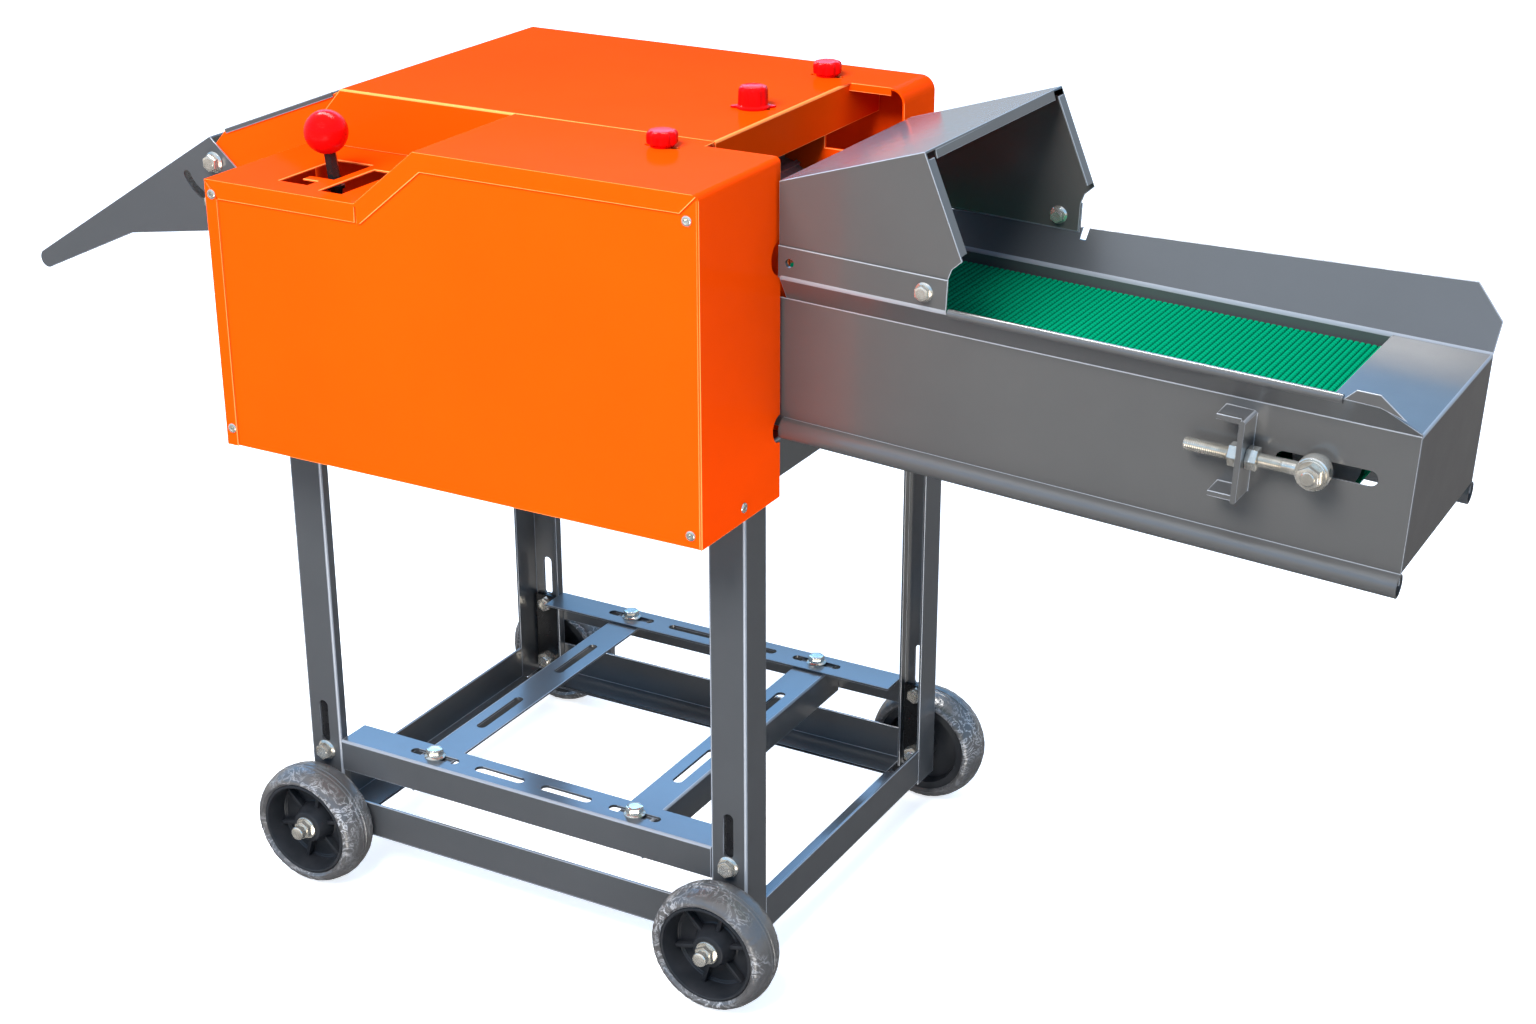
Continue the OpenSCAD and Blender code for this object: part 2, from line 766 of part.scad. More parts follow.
module side_plate(y) {
    difference() {
        xz_plate(y, plate_t) side_outline();
        rod_y(rotor_c, y - 1, y + plate_t + 1, shaft_d + 4);
        for (c = [feed_c, upper_c]) rod_y(c, y - 1, y + plate_t + 1, roller_shaft_d + 2);
        rod_y([drive_x, drive_z], y - 1, y + plate_t + 1, conveyor_shaft_d + 2);
        rod_y([pivot_x, pivot_z], y - 1, y + plate_t + 1, deflector_bolt_d + 2 * hole_play);
        rod_y(clamp_c, y - 1, y + plate_t + 1, arc_clamp_d + 2 * hole_play);
    }
}

clamp_c = [pivot_x + arc_slot_r * cos(arc_to), pivot_z + arc_slot_r * sin(arc_to)];

// The front plate also carries the welded stud of the idler gears
module front_side_plate() {
    place() color(orange) {
        side_plate(plate_front);
        rod_y(idler_c, feed_gear_y - clear, plate_front, idler_d);
        rod_y(idler_c, feed_gear_y - clear - idler_head, feed_gear_y - clear, idler_d + 10);
    }
}

module back_side_plate() {
    place() color(orange) side_plate(throat_back);
}

// Curved pan under the rotor, with the flat chute floor that leaves it on the left
module rotor_pan() {
    floor_r = pan_r + 0.4 * plate_t;
    floor_x = rotor_c[0] + floor_r * cos(pan_from + 1.5);
    floor_z = rotor_c[1] + floor_r * sin(pan_from + 1.5);
    floor_l = (floor_x + floor_end) / cos(floor_a);
    place() color(steel) {
        xz_plate(throat_front, throat_w) {
            translate(rotor_c) polygon(concat(
                arc_points([0, 0], pan_r + plate_t, pan_from, pan_to, 36),
                arc_points([0, 0], pan_r, pan_to, pan_from, 36)));
            translate([floor_x, floor_z]) rotate(180 - floor_a) square([floor_l, sheet]);
        }
    }
}

module shear_bar() {
    bar_x = rotor_x + rotor_r + shear_gap;
    bar_z = feed_c[1] + roller_r;
    place() color(steel) xz_plate(throat_front, throat_w)
        polygon([[bar_x, bar_z - shear_h], [bar_x, bar_z - 2], [bar_x + 1, bar_z],
            [bar_x + shear_t, bar_z], [bar_x + shear_t, bar_z - shear_h]]);
}

// Keyhole slot under a knob: a round hole and a slot towards the left
module keyhole(y) {
    key_l = 14;
    translate([knob_x, y, deck_high - sheet - 1]) {
        cylinder(d = stud_d + 2, h = sheet + 2);
        for (s = [-1, 1]) translate([s * key_l, 0, 0]) cylinder(d = stud_d, h = sheet + 2);
        translate([-key_l, -stud_d / 2, 0]) cube([2 * key_l, stud_d, sheet + 2]);
    }
}

// Outline of the top cover's right end: top, rounded fold and side, set in by one margin
function top_end(margin) =
    arc_points([top_right - top_fold, deck_high - top_fold], top_fold - margin, 90, 0, 10);

// Flange over the front side plate, with a slanted left edge
module front_flange() {
    slant = [22, 24];
    xz_plate(plate_front - sheet, sheet)
        polygon([[top_start, deck_high], [top_start - slant[0], deck_high - slant[1]],
            [top_start - slant[0], deck_low], [step_end, deck_low], [step_end, deck_high]]);
}

module top_cover() {
    back_wall = casing_back - sheet;
    side_l = casing_back - notch_y;
    lip_h = 6;
    place() color(orange) difference() {
        union() {
            translate([top_start, plate_front, plate_top]) {
                cube([notch_x - top_start, casing_back - plate_front, sheet]);
                translate([0, notch_y - plate_front, 0]) cube([top_right - top_fold - top_start, side_l, sheet]);
            }
            xz_plate(notch_y, side_l)
                polygon(concat(top_end(0), [[top_right, frame_top], [top_right - sheet, frame_top]],
                    [for (i = [10 : -1 : 0]) top_end(sheet)[i]]));
            xz_plate(back_wall, sheet)
                polygon(concat([[top_start, deck_high]], top_end(0), [[top_right, frame_top], [top_start, frame_top]]));
            translate([top_start, plate_back + clear, frame_top])
                cube([sheet, casing_back - plate_back - clear, plate_top - frame_top]);
            translate([notch_x - sheet, plate_front, plate_top - notch_lip])
                cube([sheet, casing_back - plate_front, notch_lip]);
            translate([notch_x - sheet, notch_y, plate_top - lip_h])
                cube([top_right - top_fold - notch_x + sheet, sheet, lip_h]);
            front_flange();
        }
        keyhole(knob_ys[1]);
        keyhole(knob_ys[2]);
    }
}

// Discharge

// Roof sheet on the side plates' sloping edges, with folded edges outside the plates
module chute_roof() {
    place() color(grey) translate([top_start, 0, plate_top]) rotate([0, 180 - roof_slope, 0]) mirror([0, 0, 1]) {
        translate([roof_start, plate_front, 0]) cube([roof_l - roof_start, throat_w + 2 * plate_t, sheet]);
        for (y = [plate_front - sheet, plate_back])
            translate([roof_lip_u0, y, sheet - roof_lip]) cube([roof_lip_l, sheet, roof_lip]);
    }
}

// Deflector, drawn about its pivot

module deflector_side() {
    tip_c = tip + tip_r * [cos(side_r), sin(side_r)];
    nose = [for (k = [1 : 10]) tip_c + tip_r * [cos(side_r + 180 + 18 * k), sin(side_r + 180 + 18 * k)]];
    difference() {
        polygon(concat([elbow, tip], nose, [[-123, -93], [67, -62], [67, -36]]));
        circle(d = deflector_bolt_d + 2 * fit);
    }
}

module arc_slot() {
    half = arc_slot_w / 2;
    end_c = arc_slot_r * [cos(arc_to), sin(arc_to)];
    start_c = arc_slot_r * [cos(arc_from), sin(arc_from)];
    polygon(concat(
        arc_points([0, 0], arc_slot_r + half, arc_from, arc_to, 12),
        arc_points(end_c, half, arc_to + 20, arc_to + 160, 7),
        arc_points([0, 0], arc_slot_r - half, arc_to, arc_from, 12),
        arc_points(start_c, half, arc_from + 200, arc_from + 340, 7)));
}

deflector_y0 = plate_front - clear - sheet;
deflector_y1 = plate_back + clear;

module deflector() {
    place() color(grey) translate([pivot_x, 0, pivot_z]) {
        for (y = [deflector_y0, deflector_y1]) xz_plate(y, sheet) difference() {
            deflector_side();
            arc_slot();
        }
        xz_plate(deflector_y0, deflector_y1 + sheet - deflector_y0)
            polygon([elbow, tip, tip + sheet * [cos(side_r), sin(side_r)], elbow + sheet * [cos(side_r), sin(side_r)]]);
    }
}

module deflector_bolts() {
    grip = sheet + 2 * clear + plate_t;
    place() color(zinc) {
        for (b = [[[pivot_x, pivot_z], deflector_bolt_d], [clamp_c, arc_clamp_d]]) {
            flange_bolt_y(b[0], deflector_y0 - clear, b[1], grip, -1);
            flange_bolt_y(b[0], deflector_y1 + sheet + clear, b[1], grip, 1);
        }
    }
}

// Front cover

// Outline of the cover's front, set in by one margin on each side, with the right fold's radius
module cover_outline(left, top, right, low, fold) {
    turn = top * tan(step_a / 2);
    corner = [cover_w - right, deck_high - top];
    polygon(concat([[left, cover_bottom + low], [left, deck_low - top], [deck_low_l + turn, deck_low - top],
        [step_end + turn, deck_high - top]],
        fold > 0 ? arc_points(corner - [fold, fold], fold, 90, 0, 6) : [corner],
        [[cover_w - right, cover_bottom + low]]));
}

// Gate for the lever, with a tongue before its front pocket, and the plain slot beside it
module lever_gate() {
    x0 = lever_x - gate_left;
    x1 = lever_x + gate_half;
    nose_x = lever_x - gate_nose;
    tongue_y = gate_front - gate_tongue;
    pocket_y = tongue_y - gate_pocket;
    translate([0, 0, deck_low - sheet - 1]) linear_extrude(sheet + 2) {
        polygon([[x0, pocket_y], [lever_x, pocket_y], [lever_x, tongue_y], [nose_x, tongue_y], [nose_x, gate_front],
            [x1, gate_front], [x1, gate_back], [x0, gate_back]]);
        translate([gate2_x - gate2_w / 2, gate2_y]) square([gate2_w, gate2_l]);
    }
}

// Flanges folded down over the panel: left and top, with mitred ends and relief slits
module front_flanges() {
    slit = 2;
    mitre_z = deck_high - deck_flange - 1;
    mitre_x = cover_w - deck_flange - 1;
    slit_z = deck_low - deck_flange - 1;
    difference() {
        cover_outline(0, 0, 0, 0, cover_fold);
        cover_outline(side_flange, deck_flange, -1, -1, 0);
        polygon([[mitre_x, mitre_z], [cover_w + 1, deck_high + 1], [cover_w + 1, mitre_z]]);
        polygon([[slit / 2, deck_low - slit], [slit, deck_low - slit / 2], [side_flange + slit, slit_z + slit],
            [side_flange + slit / 2, slit_z]]);
        translate([deck_low_l, slit_z]) square([slit, deck_flange - slit]);
    }
}

module cover_surround() {
    place() color(orange) difference() {
        union() {
            xz_plate(sheet, deck_back - sheet) difference() {
                cover_outline(0, 0, 0, 0, cover_fold);
                cover_outline(sheet, sheet, sheet, -1, cover_fold - sheet);
            }
            xz_plate(0, sheet) front_flanges();
        }
        lever_gate();
        keyhole(knob_ys[0]);
        translate([notch_x, cover_d, cover_bottom - 1])
            cube([notch_w + 1, deck_back - cover_d + 1, deck_high - cover_bottom + 2]);
        rod_x(plate_end - 1, cover_w + 1, cover_d, trough_z + tab_front_w + tab_h / 2, 2 * upper_notch_r);
        rod_x(plate_end - 1, cover_w + 1, cover_d, trough_z + bead_w0, 2 * lower_notch_r);
        for (c = cover_rivet_places) rod_y(c, -1, sheet + 1, rivet_shank + 2 * fit);
        rod_x(plate_end - 1, cover_w + 1, side_rivet[0], side_rivet[1], rivet_shank + 2 * fit);
    }
}

module cover_panel() {
    edge = sheet + clear;
    place() color(orange) difference() {
        xz_plate(sheet, sheet) cover_outline(edge, edge, edge, 0, cover_fold - edge);
        for (c = concat(cover_rivet_places, panel_rivet_places))
            rod_y(c, 0, 2 * sheet + 1, rivet_shank + 2 * fit);
    }
}

rivet_shank = rivet_d * 0.45;
rivet_in = 12;
cover_rivet_places = [[side_flange / 2 + 1, deck_low - deck_flange + 4], [side_flange / 2 + 1, cover_bottom + rivet_in + 6]];
panel_rivet_places = [[cover_w - rivet_in, deck_high - deck_flange - 6], [cover_w - rivet_in, cover_bottom + rivet_in]];

side_rivet = [77, cover_bottom + rivet_in + 2];

// Blind rivet along Y with its head at y
module rivet(c, y, grip) {
    rod_y(c, y, y + grip + 1, rivet_shank);
    translate([c[0], y, c[1]]) rotate([90, 0, 0]) difference() {
        cylinder(d1 = rivet_d, d2 = rivet_d * 0.7, h = rivet_h);
        translate([0, 0, 0.4]) cylinder(d = rivet_shank * 0.6, h = rivet_h);
    }
}

module cover_rivets() {
    place() color(zinc) {
        for (c = cover_rivet_places) rivet(c, 0, 2 * sheet);
        for (c = panel_rivet_places) rivet(c, sheet, sheet);
        translate([cover_w, side_rivet[0], side_rivet[1]]) rotate([0, 0, 90]) rivet([0, 0], 0, sheet);
    }
}

// Shift lever

// Forked bracket for the lever's pin, and the shift rail under the plain slot
module lever_bracket() {
    base_l = 50;
    ear_y = lever_y - lever_hub_d / 2;
    ear_x = lever_hub_l / 2 + clear;
    base_z = lever_z - base_l / 2;
    place() color(steel) translate([lever_foot_x, 0, 0]) difference() {
        union() {
            translate([-ear_x - ear_t - 6, plate_front - ear_t, base_z]) cube([2 * (ear_x + ear_t + 6), ear_t, base_l]);
            for (s = [0, 1]) mirror([s, 0, 0])
                translate([ear_x, ear_y, lever_z - lever_hub_d / 2])
                    cube([ear_t, plate_front - ear_y, lever_hub_d]);
        }
        rod_x(-ear_x - ear_t - 1, ear_x + ear_t + 1, lever_y, lever_z, lever_pin_d + 2 * fit);
    }
    place() color(steel) translate([gate2_x - shift_rail_w / 2, shift_rail_y, deck_low - sheet - shift_rail_drop])
        cube([shift_rail_w, plate_front - shift_rail_y, shift_rail_t]);
}

module at_lever() {
    translate([lever_foot_x, lever_y, lever_z]) children();
}

// Hexagon rod in a hub, with the pin that turns in the bracket
module shift_lever() {
    pin_l = lever_hub_l + 2 * (ear_t + clear + 3);
    collar_d = lever_w + 6;
    place() color(black) at_lever() {
        rod_x(-lever_hub_l / 2, lever_hub_l / 2, 0, 0, lever_hub_d - 2);
        rod_x(-pin_l / 2, pin_l / 2, 0, 0, lever_pin_d);
        rotate([0, -lever_lean, 0]) {
            cylinder(d = lever_w / cos(30), h = lever_l, $fn = 6);
            translate([0, 0, lever_drop - 12]) cylinder(d = collar_d, h = 3);
        }
    }
}

module lever_ball() {
    sink = lever_w;
    place() color(red) at_lever() rotate([0, -lever_lean, 0]) translate([0, 0, lever_l + sink / 2]) difference() {
        sphere(d = ball_d, $fn = 64);
        translate([0, 0, -ball_d]) cylinder(d = lever_w / cos(30) + 2 * fit, h = ball_d - sink / 2, $fn = 6);
    }
}

// Cutter

module main_shaft() {
    place() color(steel) rod_y(rotor_c, pulley_y, plate_back + bearing_t + 12, shaft_d);
}

module at_rotor() {
    translate([rotor_c[0], 0, rotor_c[1]]) children();
}

spider_ys = [rotor_y0, throat_mid - spider_t / 2, rotor_y0 + rotor_l - spider_t];

// Plates with one flat seat for each knife
module rotor_spiders() {
    corner_r = knife_out + 40;
    flat_r = knife_seat / cos(180 / knife_n);
    flats = [for (i = [0 : knife_n - 1]) flat_r * [cos((2 * i + 1) * 180 / knife_n), sin((2 * i + 1) * 180 / knife_n)]];
    place() color(steel) at_rotor() for (y = spider_ys) xz_plate(y, spider_t) difference() {
        intersection() {
            circle(r = corner_r, $fn = 96);
            polygon(flats);
        }
        circle(d = shaft_d + 2 * fit);
    }
}

// Straight knives on the seats, ground on the outer edge
module knives() {
    bevel = knife_t * 0.7;
    place() color(zinc) at_rotor() for (i = [0 : knife_n - 1]) rotate([0, 360 * i / knife_n, 0])
        xz_plate(rotor_y0, rotor_l)
            polygon([[knife_seat, knife_out - knife_w], [knife_seat + knife_t, knife_out - knife_w],
                [knife_seat + knife_t, knife_out], [knife_seat, knife_out - bevel]]);
}

// Two-groove V pulley
module drive_pulley() {
    r = pulley_d / 2;
    half = pulley_w / 2;
    groove_w = 13;
    groove_d = 11;
    rim_t = 20;
    web_t = 10;
    hub_r = shaft_d * 0.9;
    groove = [[r, -groove_w / 2], [r - groove_d, -groove_w / 4], [r - groove_d, groove_w / 4], [r, groove_w / 2]];
    place() color(steel) at_rotor() translate([0, pulley_y + half + 2, 0]) rotate([-90, 0, 0])
        difference() {
            union() {
                rotate_extrude($fn = 96) difference() {
                    translate([r - rim_t, -half]) square([rim_t, pulley_w]);
                    for (z = [-half / 2, half / 2]) translate([0, z]) polygon(groove);
                }
                cylinder(r = r - rim_t + 1, h = web_t, center = true);
                cylinder(r = hub_r, h = pulley_w, center = true);
            }
            cylinder(d = shaft_d + 2 * fit, h = pulley_w + 2, center = true);
            for (i = [0 : 3]) rotate(90 * i) translate([(hub_r + r - rim_t) / 2, 0, 0])
                cylinder(d = (r - rim_t - hub_r) * 0.7, h = pulley_w, center = true);
        }
}

module drive_pinion() {
    place() color(steel) gear(rotor_c, wheel_y, pinion_n, gear_m, shaft_d + 2 * fit, mesh_1);
}

// Square flange bearings outside the side plates
module bearing(y) {
    difference() {
        translate([rotor_c[0] - bearing_w / 2, y, rotor_c[1] - bearing_w / 2]) cube([bearing_w, bearing_t, bearing_w]);
        rod_y(rotor_c, y - 1, y + bearing_t + 1, shaft_d + 2 * fit);
        for (x = [-1, 1], z = [-1, 1])
            rod_y(rotor_c + bearing_w * 0.36 * [x, z], y - 1, y + bearing_t + 1, 11);
    }
}

module shaft_bearings() {
    place() color(grey) {
        bearing(plate_front - bearing_t);
        bearing(plate_back);
    }
}

// Feed rollers and their drive

module feed_roller(c, y0, y1) {
    core_r = roller_r - rib_h;
    rib_t = 5;
    rod_y(c, y0, y1, roller_shaft_d);
    rod_y(c, rotor_y0, rotor_y0 + rotor_l, 2 * core_r);
    translate([c[0], rotor_y0, c[1]]) for (i = [0 : rib_n - 1]) rotate([0, 360 * i / rib_n, 0])
        translate([core_r - 1, 0, -rib_t / 2]) cube([rib_h, rotor_l, rib_t]);
}

module lower_feed_roller() {
    place() color(steel) feed_roller(feed_c, feed_gear_y - 6, roller_shaft_end);
}

module upper_feed_roller() {
    place() color(steel) feed_roller(upper_c, plate_front - bush_t, roller_gear_y + gear_t + 4);
}

module bush(c, y, bore) {
    difference() {
        rod_y(c, y, y + bush_t, bore + 20);
        rod_y(c, y - 1, y + bush_t + 1, bore + 2 * fit);
    }
}

module roller_bushes() {
    place() color(grey) for (y = [plate_front - bush_t, plate_back]) {
        bush(feed_c, y, roller_shaft_d);
        bush(upper_c, y, roller_shaft_d);
        bush([drive_x, drive_z], y, conveyor_shaft_d);
    }
}

// Pulley for the small drive belt, with low side flanges
module small_pulley(c, bore) {
    rim = 2;
    difference() {
        union() {
            rod_y(c, small_belt_y, small_belt_y + small_belt_w, 2 * small_pulley_r);
            for (y = [small_belt_y - rim, small_belt_y + small_belt_w])
                rod_y(c, y, y + rim, 2 * small_pulley_r);
        }
        rod_y(c, small_belt_y - rim - 1, small_belt_y + small_belt_w + rim + 1, bore + 2 * fit);
    }
}

module lower_roller_gears() {
    place() color(steel) {
        gear(feed_c, feed_gear_y, wheel_n, gear_m, roller_shaft_d + 2 * fit, mesh_2 + 180 + 180 / wheel_n);
        gear(feed_c, roller_gear_y, roller_gear_n, roller_gear_m, roller_shaft_d + 2 * fit, 90);
        small_pulley(feed_c, roller_shaft_d);
    }
}

// Large and small wheel on one hub, turning on the welded stud
module idler_gears() {
    bore = idler_d + 2 * fit;
    place() color(steel) {
        gear(idler_c, wheel_y, wheel_n, gear_m, bore, mesh_1 + 180 + 180 / wheel_n);
        gear(idler_c, feed_gear_y, pinion_n, gear_m, bore, mesh_2);
        difference() {
            rod_y(idler_c, feed_gear_y, wheel_y + gear_t + gear_gap, idler_d + 14);
            rod_y(idler_c, feed_gear_y - 1, wheel_y + gear_t + gear_gap + 1, bore);
        }
    }
}

module upper_roller_gear() {
    place() color(steel)
        gear(upper_c, roller_gear_y, roller_gear_n, roller_gear_m, roller_shaft_d + 2 * fit, -90 + 180 / roller_gear_n);
}

// A band of thickness t round two equal circles
module band(c0, c1, r, t, y, w) {
    run = norm(c1 - c0);
    a = atan2(c1[1] - c0[1], c1[0] - c0[0]);
    translate([c0[0], 0, c0[1]]) rotate([0, -a, 0]) xz_plate(y, w) difference() {
        stadium(run, r + t);
        stadium(run, r);
    }
}

module stadium(run, r) {
    translate([0, -r]) square([run, 2 * r]);
    circle(r = r, $fn = 96);
    translate([run, 0]) circle(r = r, $fn = 96);
}

module small_drive_belt() {
    place() color(black)
        band(feed_c, [drive_x, drive_z], small_pulley_r + clear, small_belt_t, small_belt_y, small_belt_w);
}

// Trough

function bead_w(u) = bead_w0 - bead_fall * u / trough_l;
function back_top(u) = back_near_w + back_rise * u;
// Near end of the pieces beside the front cover, parallel to its side
function near_u(w) = (near_gap - w * sin(trough_tilt)) / cos(trough_tilt);

// Rolled bead along a wall's lower edge, falling a little towards the feed end
module bead(y) {
    translate([0, y, bead_w0]) rotate([0, 90 + bead_a, 0]) difference() {
        translate([0, 0, bead_u0]) cylinder(r = bead_r, h = trough_l - bead_u0);
        cylinder(r = bead_r - wall_t, h = trough_l + 1);
    }
}

// C bracket for the tensioner, welded to the outside of a wall that lies behind it
module tension_bracket(y) {
    low = belt_axis - bracket_h / 2;
    fold_out = bracket_out - 6;
    translate([bracket_u, y, low]) difference() {
        union() {
            cube([bracket_t, bracket_out, bracket_h]);
            for (z = [0, bracket_h - bracket_t])
                translate([-bracket_fold, 0, z]) cube([bracket_fold + bracket_t, fold_out, bracket_t]);
        }
        rod_x(-1, bracket_t + 1, eye_out, bracket_h / 2, eye_d + 2 * hole_play);
    }
}

// Wall outline along the trough: straight lower part with the tensioner's slot
module wall_sheet() {
    difference() {
        polygon([[wall_u0, bead_w0], [0, bead_w0], [trough_l, bead_w(trough_l)], [trough_l, wall_h], [wall_u0, wall_h]]);
        translate([(slot_u0 + slot_u1) / 2, belt_axis]) slot_2d(slot_u1 - slot_u0, slot_h);
        translate([drive_u, belt_axis]) circle(d = conveyor_shaft_d + 4);
    }
}

// Flare of a wall, drawn out along the trough: out and up from the wall's upper edge at y
module flare_bar(y, out, up) {
    yz_bar(flare_u0, trough_l - flare_u0)
        polygon([[y, wall_h], [y + out, wall_h + up], [y + out + wall_t, wall_h + up], [y + wall_t, wall_h]]);
}

// Places of the hood's screws on a tab that ends at u1
function hood_screws(w, u1) = [[near_u(w) + hood_bolt_in / 2, w + hood_bolt_w], [u1 - hood_bolt_in, w + hood_bolt_w]];

module hood_holes(w, u1, y) {
    for (c = hood_screws(w, u1)) rod_y(c, y - 1, y + wall_t + 1, hood_bolt_d + 2 * hole_play);
}

module hood_tab(y, w, u1) {
    difference() {
        xz_plate(y, wall_t)
            polygon([[near_u(w), w], [u1, w], [u1, w + tab_h], [near_u(w + tab_h), w + tab_h]]);
        hood_holes(w, u1, y);
    }
}

module trough_front_wall() {
    flare_end = trough_l - end_chamfer;
    place() color(grey) in_trough() {
        xz_plate(trough_y0, wall_t) wall_sheet();
        difference() {
            flare_bar(trough_y0, -front_flare_out, front_flare_up);
            xz_plate(tab_front_y - 1, front_flare_out + wall_t + 1)
                polygon([[trough_l + 1, wall_h + wall_t], [flare_end, tab_front_w + 1], [trough_l + 1, tab_front_w + 1]]);
        }
        hood_tab(tab_front_y, tab_front_w, hood_l);
        translate([0, tab_front_y + wall_t / 2, tab_front_w]) rotate([0, 90, 0])
            translate([0, 0, hood_l + wall_t]) cylinder(r = rim_r, h = lobe_u - hood_l - wall_t);
        xz_plate(tab_front_y, wall_t)
            polygon([[lobe_u, tab_front_w], [lobe_u + lobe_h, tab_front_w + lobe_h], [flare_end, tab_front_w + lobe_h],
                [trough_l - lobe_h, tab_front_w - lobe_h + wall_t], [flare_end, tab_front_w - 1]]);
        bead(trough_y0);
        translate([0, 2 * trough_y0, 0]) mirror([0, 1, 0]) tension_bracket(trough_y0);
    }
}

module trough_back_wall() {
    flare_end = trough_l - back_chamfer;
    over = flare_top + tab_h;
    slit_u = hood_l + hood_skew + wall_t;
    place() color(grey) in_trough() {
        xz_plate(trough_y1 - wall_t, wall_t) wall_sheet();
        difference() {
            flare_bar(trough_y1 - wall_t, back_flare_out + wall_t, back_flare_up);
            xz_plate(trough_y1 - wall_t - 1, back_flare_out + 3 * wall_t + 1) {
                polygon([[-trough_l, back_top(-trough_l)], [flare_end, back_top(flare_end)],
                    [trough_l, back_corner_w], [trough_l + 1, back_corner_w], [trough_l + 1, over], [-trough_l, over]]);
                translate([slit_u, back_top(slit_u) - lobe_h]) square([3 * wall_t, 2 * lobe_h]);
            }
        }
        hood_tab(tab_back_y, tab_back_w, hood_l + hood_skew);
        bead(trough_y1);
        tension_bracket(trough_y1);
    }
}

module belt_bed() {
    u1 = tail_u - tension_travel - belt_roller_r - 8;
    place() color(steel) in_trough()
        translate([bed_u0, wall_in0, bed_w]) cube([u1 - bed_u0, wall_in1 - wall_in0, bed_t]);
}

module end_cap() {
    place() color(grey) in_trough() {
        translate([trough_l - end_cap_l, wall_in0, end_cap_w]) cube([end_cap_l, wall_in1 - wall_in0, wall_t]);
        translate([trough_l - wall_t, wall_in0, end_cap_low])
            cube([wall_t, wall_in1 - wall_in0, end_cap_w - end_cap_low]);
    }
}

module conveyor_belt() {
    place() color(green) in_trough()
        band([drive_u, belt_axis], [tail_u, belt_axis], belt_in, belt_t, belt_y0, belt_w);
}

module belt_drive_roller() {
    c = [drive_u, belt_axis];
    place() color(steel) in_trough() {
        rod_y(c, plate_front - bush_t, roller_shaft_end, conveyor_shaft_d);
        rod_y(c, belt_y0 + 2, belt_y0 + belt_w - 2, 2 * belt_roller_r);
    }
    place() color(steel) small_pulley([drive_x, drive_z], conveyor_shaft_d - 2 * fit);
}

module tail_roller() {
    c = [tail_u, belt_axis];
    place() color(steel) in_trough() difference() {
        rod_y(c, belt_y0 + 2, belt_y0 + belt_w - 2, 2 * belt_roller_r);
        rod_y(c, belt_y0, belt_y0 + belt_w, eye_d + 2 * fit);
    }
}

// Tail axle in the slots, with an eye bolt, collar and nut outside each wall
module tensioner_end() {
    c = [tail_u, belt_axis];
    eye_y = trough_y0 - eye_out;
    rod_y(c, eye_y - eye_t / 2, trough_mid, eye_d);
    rod_y(c, eye_y - eye_t / 2, eye_y + eye_t / 2, 2 * eye_r);
    rod_x(tail_u - eye_l, tail_u, eye_y, belt_axis, eye_d);
    rod_y(c, eye_y + eye_t / 2, trough_y0 - clear, 2 * eye_d);
    rod_y(c, eye_y - eye_t / 2 - washer_t, eye_y - eye_t / 2, 2.1 * eye_d);
    translate([c[0], eye_y - eye_t / 2 - washer_t - nut_t, c[1]]) rotate([-90, 0, 0])
        cylinder(d = 1.75 * eye_d, h = nut_t, $fn = 6);
}

module belt_tensioner() {
    place() color(zinc) in_trough() {
        tensioner_end();
        translate([0, 2 * trough_mid, 0]) mirror([0, 1, 0]) tensioner_end();
    }
}

module nut_x(u, y) {
    translate([u, y, belt_axis]) rotate([0, 90, 0]) difference() {
        cylinder(d = 1.75 * eye_d, h = nut_t, $fn = 6);
        translate([0, 0, -1]) cylinder(d = eye_d + 2 * fit, h = nut_t + 2);
    }
}

// Nuts on the eye bolts, and the bolts that hold the hood to the trough
module trough_fasteners() {
    place() color(zinc) in_trough() {
        for (y = [trough_y0 - eye_out, trough_y1 + eye_out], u = [bracket_u - nut_t, bracket_u + bracket_t])
            nut_x(u, y);
        flange_bolt_y(hood_screws(tab_front_w, hood_l)[1], tab_front_y, hood_bolt_d, 2 * wall_t, -1);
        flange_bolt_y(hood_screws(tab_back_w, hood_l + hood_skew)[1], hood_back_y, hood_bolt_d, 2 * wall_t, -1);
    }
}

mouth_u = hood_l + hood_brow[0] - hood_rake;
hood_near = near_u(hood_low);
hood_rise_a = atan2(hood_top - hood_low, mouth_u - hood_near);
brow_w = tab_front_w + tab_h + hood_brow[1];
front_mouth = [[hood_l + hood_brow[0], brow_w], [mouth_u, hood_top]];
back_mouth = [for (c = front_mouth) c + hood_skew * [1, tan(hood_rise_a)]];

// Side of the hood from w0 up to its tab's top and on to the raked mouth and the rising top
module hood_side(w0, tab_w, u1, mouth) {
    polygon([[near_u(w0), w0], [u1, w0], [u1, tab_w + tab_h], [u1, tab_w + tab_h] + hood_cut, mouth[0], mouth[1],
        [hood_near, hood_low]]);
}

// Lip folded in along a raked side of the mouth, short of the corners
module mouth_lip(mouth, y) {
    a = mouth[0] + 0.04 * (mouth[1] - mouth[0]);
    b = mouth[0] + 0.92 * (mouth[1] - mouth[0]);
    xz_plate(y, wall_t + hood_lip) polygon([a, b, b - [wall_t, 0], a - [wall_t, 0]]);
}

// Top sheet of the hood in its own plane, between u = from and the mouth
module hood_top_sheet(from, y0, y1, width, rise_l) {
    skew = hood_skew / cos(hood_rise_a) / width;
    polygon([[from < 0 ? rise_l + skew * y0 + from : from, y0], [rise_l + skew * y0, y0], [rise_l + skew * y1, y1],
        [from < 0 ? rise_l + skew * y1 + from : from, y1]]);
}

